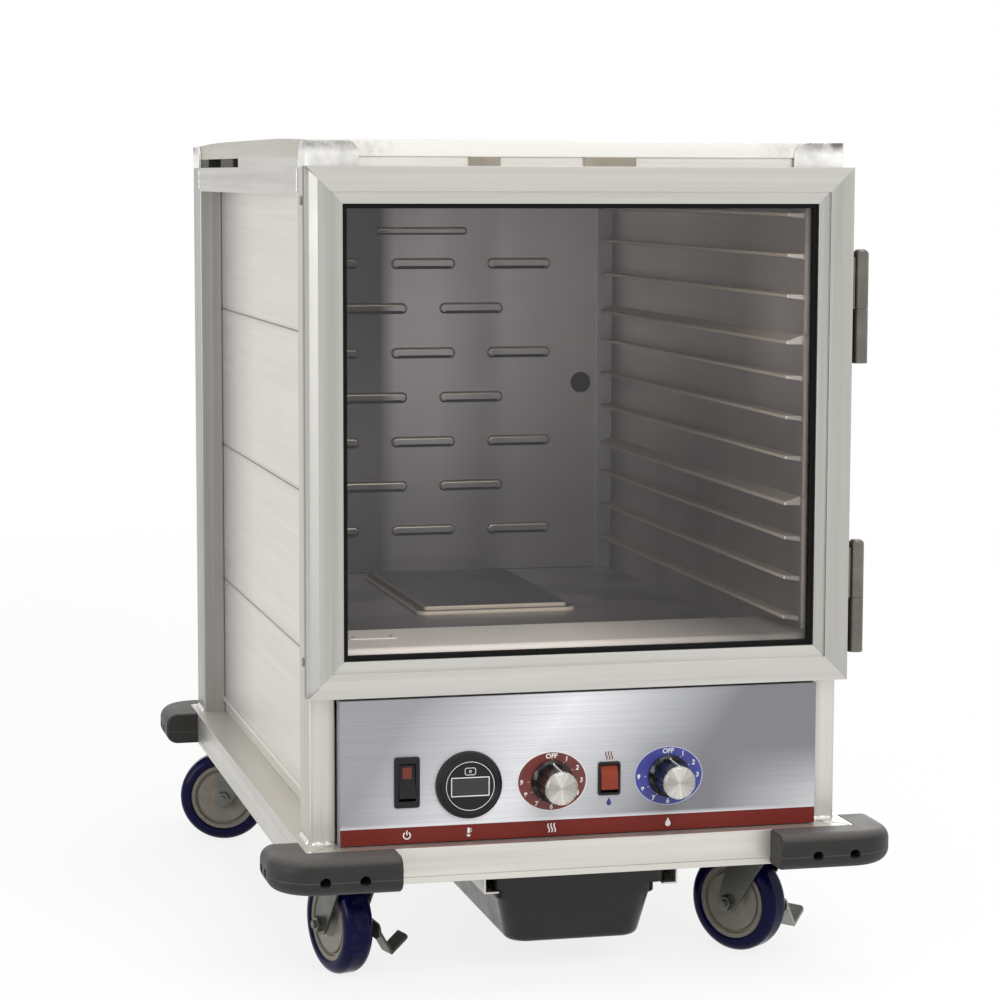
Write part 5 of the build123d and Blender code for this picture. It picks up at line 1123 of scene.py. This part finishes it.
def frame_welds():
    mesh = bmesh.new()
    low_z = TOP_RAIL_BOTTOM + RAIL_BEAD_INSET
    high_z = POST_TOP - RAIL_BEAD_INSET
    for x_side in (-1, 1):
        outer = x_side * POST_OUTER_X
        inner = x_side * POST_INNER_X
        side_x = outer + x_side * BEAD_GAP
        for foot_y in (FRONT_Y, REAR_Y - POST_DEPTH):
            start = (side_x, foot_y + FOOT_BEAD_INSET, FOOT_BEAD_Z)
            end = (side_x, foot_y + POST_DEPTH - FOOT_BEAD_INSET, FOOT_BEAD_Z)
            weld_bead(mesh, start, end, (x_side, 0, 1), FOOT_SIDE_RADIUS)
        for face_y, base_y, y_side in ((FRONT_Y, -BASE_END_Y, -1), (REAR_Y, BASE_END_Y, 1)):
            bead_y = face_y + y_side * BEAD_GAP
            start = (outer - x_side * FOOT_END_OUTER_INSET, bead_y, FOOT_BEAD_Z)
            end = (inner + x_side * FOOT_END_INNER_REACH, bead_y, FOOT_BEAD_Z)
            weld_bead(mesh, start, end, (0, y_side, 1), FOOT_END_RADIUS)
            start = (x_side * (BASE_SIDE_X - MITRE_INSET), base_y - y_side * MITRE_INSET, BASE_TOP)
            end = (start[0] - x_side * MITRE_LENGTH, start[1] - y_side * MITRE_LENGTH, BASE_TOP)
            weld_bead(mesh, start, end, (0, 0, 1), MITRE_RADIUS)
            joint_y = face_y - y_side * POST_DEPTH
            for x, y, outward, radius in (
                (side_x, joint_y, (x_side, 0, 0), RAIL_SIDE_RADIUS),
                (inner, bead_y, (0, y_side, 0), RAIL_FACE_RADIUS),
            ):
                weld_bead(mesh, (x, y, low_z), (x, y, high_z), outward, radius)
    for face in mesh.faces:
        face.smooth = True
    add_piece("frame_weld_beads", mesh, "weld", "cabinet")


frame_welds()


# Small riveted plate on the sill
PLATE_PLACE = Vector((-0.1886, -0.2975, SILL_TOP))
PLATE_SIZE = Vector((0.046, 0.022, 0.0008))
PLATE_CORNER = 0.002
RIVET_RADIUS = 0.0018
RIVET_FLATNESS = 0.45
RIVET_INSET = 0.0045


def sill_plate():
    mesh = bmesh.new()
    bmesh.ops.create_cube(mesh, size=1.0)
    for v in mesh.verts:
        v.co = PLATE_PLACE + Vector((v.co.x, v.co.y, v.co.z + 0.5)) * PLATE_SIZE
    upright = [e for e in mesh.edges if abs(e.verts[0].co.z - e.verts[1].co.z) > PLATE_SIZE.z / 2]
    bmesh.ops.bevel(mesh, geom=upright, offset=PLATE_CORNER, segments=3, affect="EDGES")
    add_piece("sill_plate", mesh, "sill_sheet", "cabinet")
    rivets = bmesh.new()
    for side in (-1, 1):
        foot = PLATE_PLACE + Vector((side * (PLATE_SIZE.x / 2 - RIVET_INSET), 0, PLATE_SIZE.z))
        head = bmesh.ops.create_uvsphere(rivets, u_segments=16, v_segments=8, radius=RIVET_RADIUS)["verts"]
        for v in head:
            v.co = foot + Vector((v.co.x, v.co.y, v.co.z * RIVET_FLATNESS))
    for face in rivets.faces:
        face.smooth = True
    add_piece("sill_rivets", rivets, "screw", "cabinet")


sill_plate()


# White floor: it takes the shadows near the cabinet, and glows evenly white farther off
STAGE_SIZE = 60.0
STAGE_DROP = 0.0002
NEAR_GLOW = 0.82
GLOW_RADII = (0.9, 3.5)


def make_stage():
    mesh = bmesh.new()
    bmesh.ops.create_grid(mesh, x_segments=1, y_segments=1, size=STAGE_SIZE)
    data = bpy.data.meshes.new("floor")
    mesh.to_mesh(data)
    mesh.free()
    floor = bpy.data.objects.new("floor", data)
    bpy.context.scene.collection.objects.link(floor)
    floor.location = (0, 0, -STAGE_DROP)
    s = Shader("studio_floor")
    paper = s.noise(s.place, 260.0, 3.0)
    s.set(Base_Color=s.mix(s.between(paper, 0.3, 0.7), colour("#f0f0f0"), colour("#f8f8f8")), Roughness=0.8)
    glow = s.add("ShaderNodeEmission", Color=(1.0, 1.0, 1.0, 1.0), Strength=1.0)
    rays = s.add("ShaderNodeLightPath").outputs
    direct = s.maths("ADD", rays["Is Camera Ray"], rays["Is Glossy Ray"])
    direct = s.maths("ADD", direct, rays["Is Transmission Ray"], clamp=True)
    distance = s.vector("LENGTH", s.place, output="Value")
    share = s.between(distance, *GLOW_RADII, NEAR_GLOW, 1.0)
    s.blend(s.maths("MULTIPLY", direct, share), s.surface.outputs[0], glow.outputs[0])
    data.materials.append(s.material)


make_stage()


# Dim white light from all around, which looks plain white to the camera
def make_world():
    world = bpy.data.worlds.new("studio")
    bpy.context.scene.world = world
    world.use_nodes = True
    nodes = world.node_tree.nodes
    nodes.clear()
    output = nodes.new("ShaderNodeOutputWorld")
    lit = nodes.new("ShaderNodeBackground")
    seen = nodes.new("ShaderNodeBackground")
    chooser = nodes.new("ShaderNodeMixShader")
    rays = nodes.new("ShaderNodeLightPath").outputs
    camera_or_glossy = nodes.new("ShaderNodeMath")
    direct = nodes.new("ShaderNodeMath")
    direct.use_clamp = True
    lit.inputs["Color"].default_value = colour("#f1efeb")
    lit.inputs["Strength"].default_value = 0.5
    seen.inputs["Color"].default_value = (1.0, 1.0, 1.0, 1.0)
    for source, target in (
        (rays["Is Camera Ray"], camera_or_glossy.inputs[0]),
        (rays["Is Glossy Ray"], camera_or_glossy.inputs[1]),
        (camera_or_glossy.outputs[0], direct.inputs[0]),
        (rays["Is Transmission Ray"], direct.inputs[1]),
        (direct.outputs[0], chooser.inputs[0]),
        (lit.outputs[0], chooser.inputs[1]),
        (seen.outputs[0], chooser.inputs[2]),
        (chooser.outputs[0], output.inputs["Surface"]),
    ):
        world.node_tree.links.new(source, target)


make_world()


# A square lamp aimed at a height on the middle line of the cabinet; size in metres, power in watts
def soft_light(name, place, target_z, size, power, mirrored=True):
    data = bpy.data.lights.new(name, "AREA")
    data.shape = "SQUARE"
    data.size = size
    data.energy = power
    lamp = bpy.data.objects.new(name, data)
    bpy.context.scene.collection.objects.link(lamp)
    lamp.visible_glossy = mirrored
    lamp.location = place
    lamp.rotation_euler = (Vector((0, 0, target_z)) - Vector(place)).to_track_quat("-Z", "Y").to_euler()


soft_light("key_light", (-3.4, -1.2, 1.3), 0.45, 2.0, 45)
soft_light("front_light", (0.5, -3.0, 2.2), 0.45, 1.6, 62, mirrored=False)
soft_light("top_light", (0.2, 0.0, 2.8), 0.5, 2.4, 32)
soft_light("back_light", (1.8, 2.6, 1.6), 0.5, 1.8, 22)

bpy.context.scene.view_settings.view_transform = "Standard"
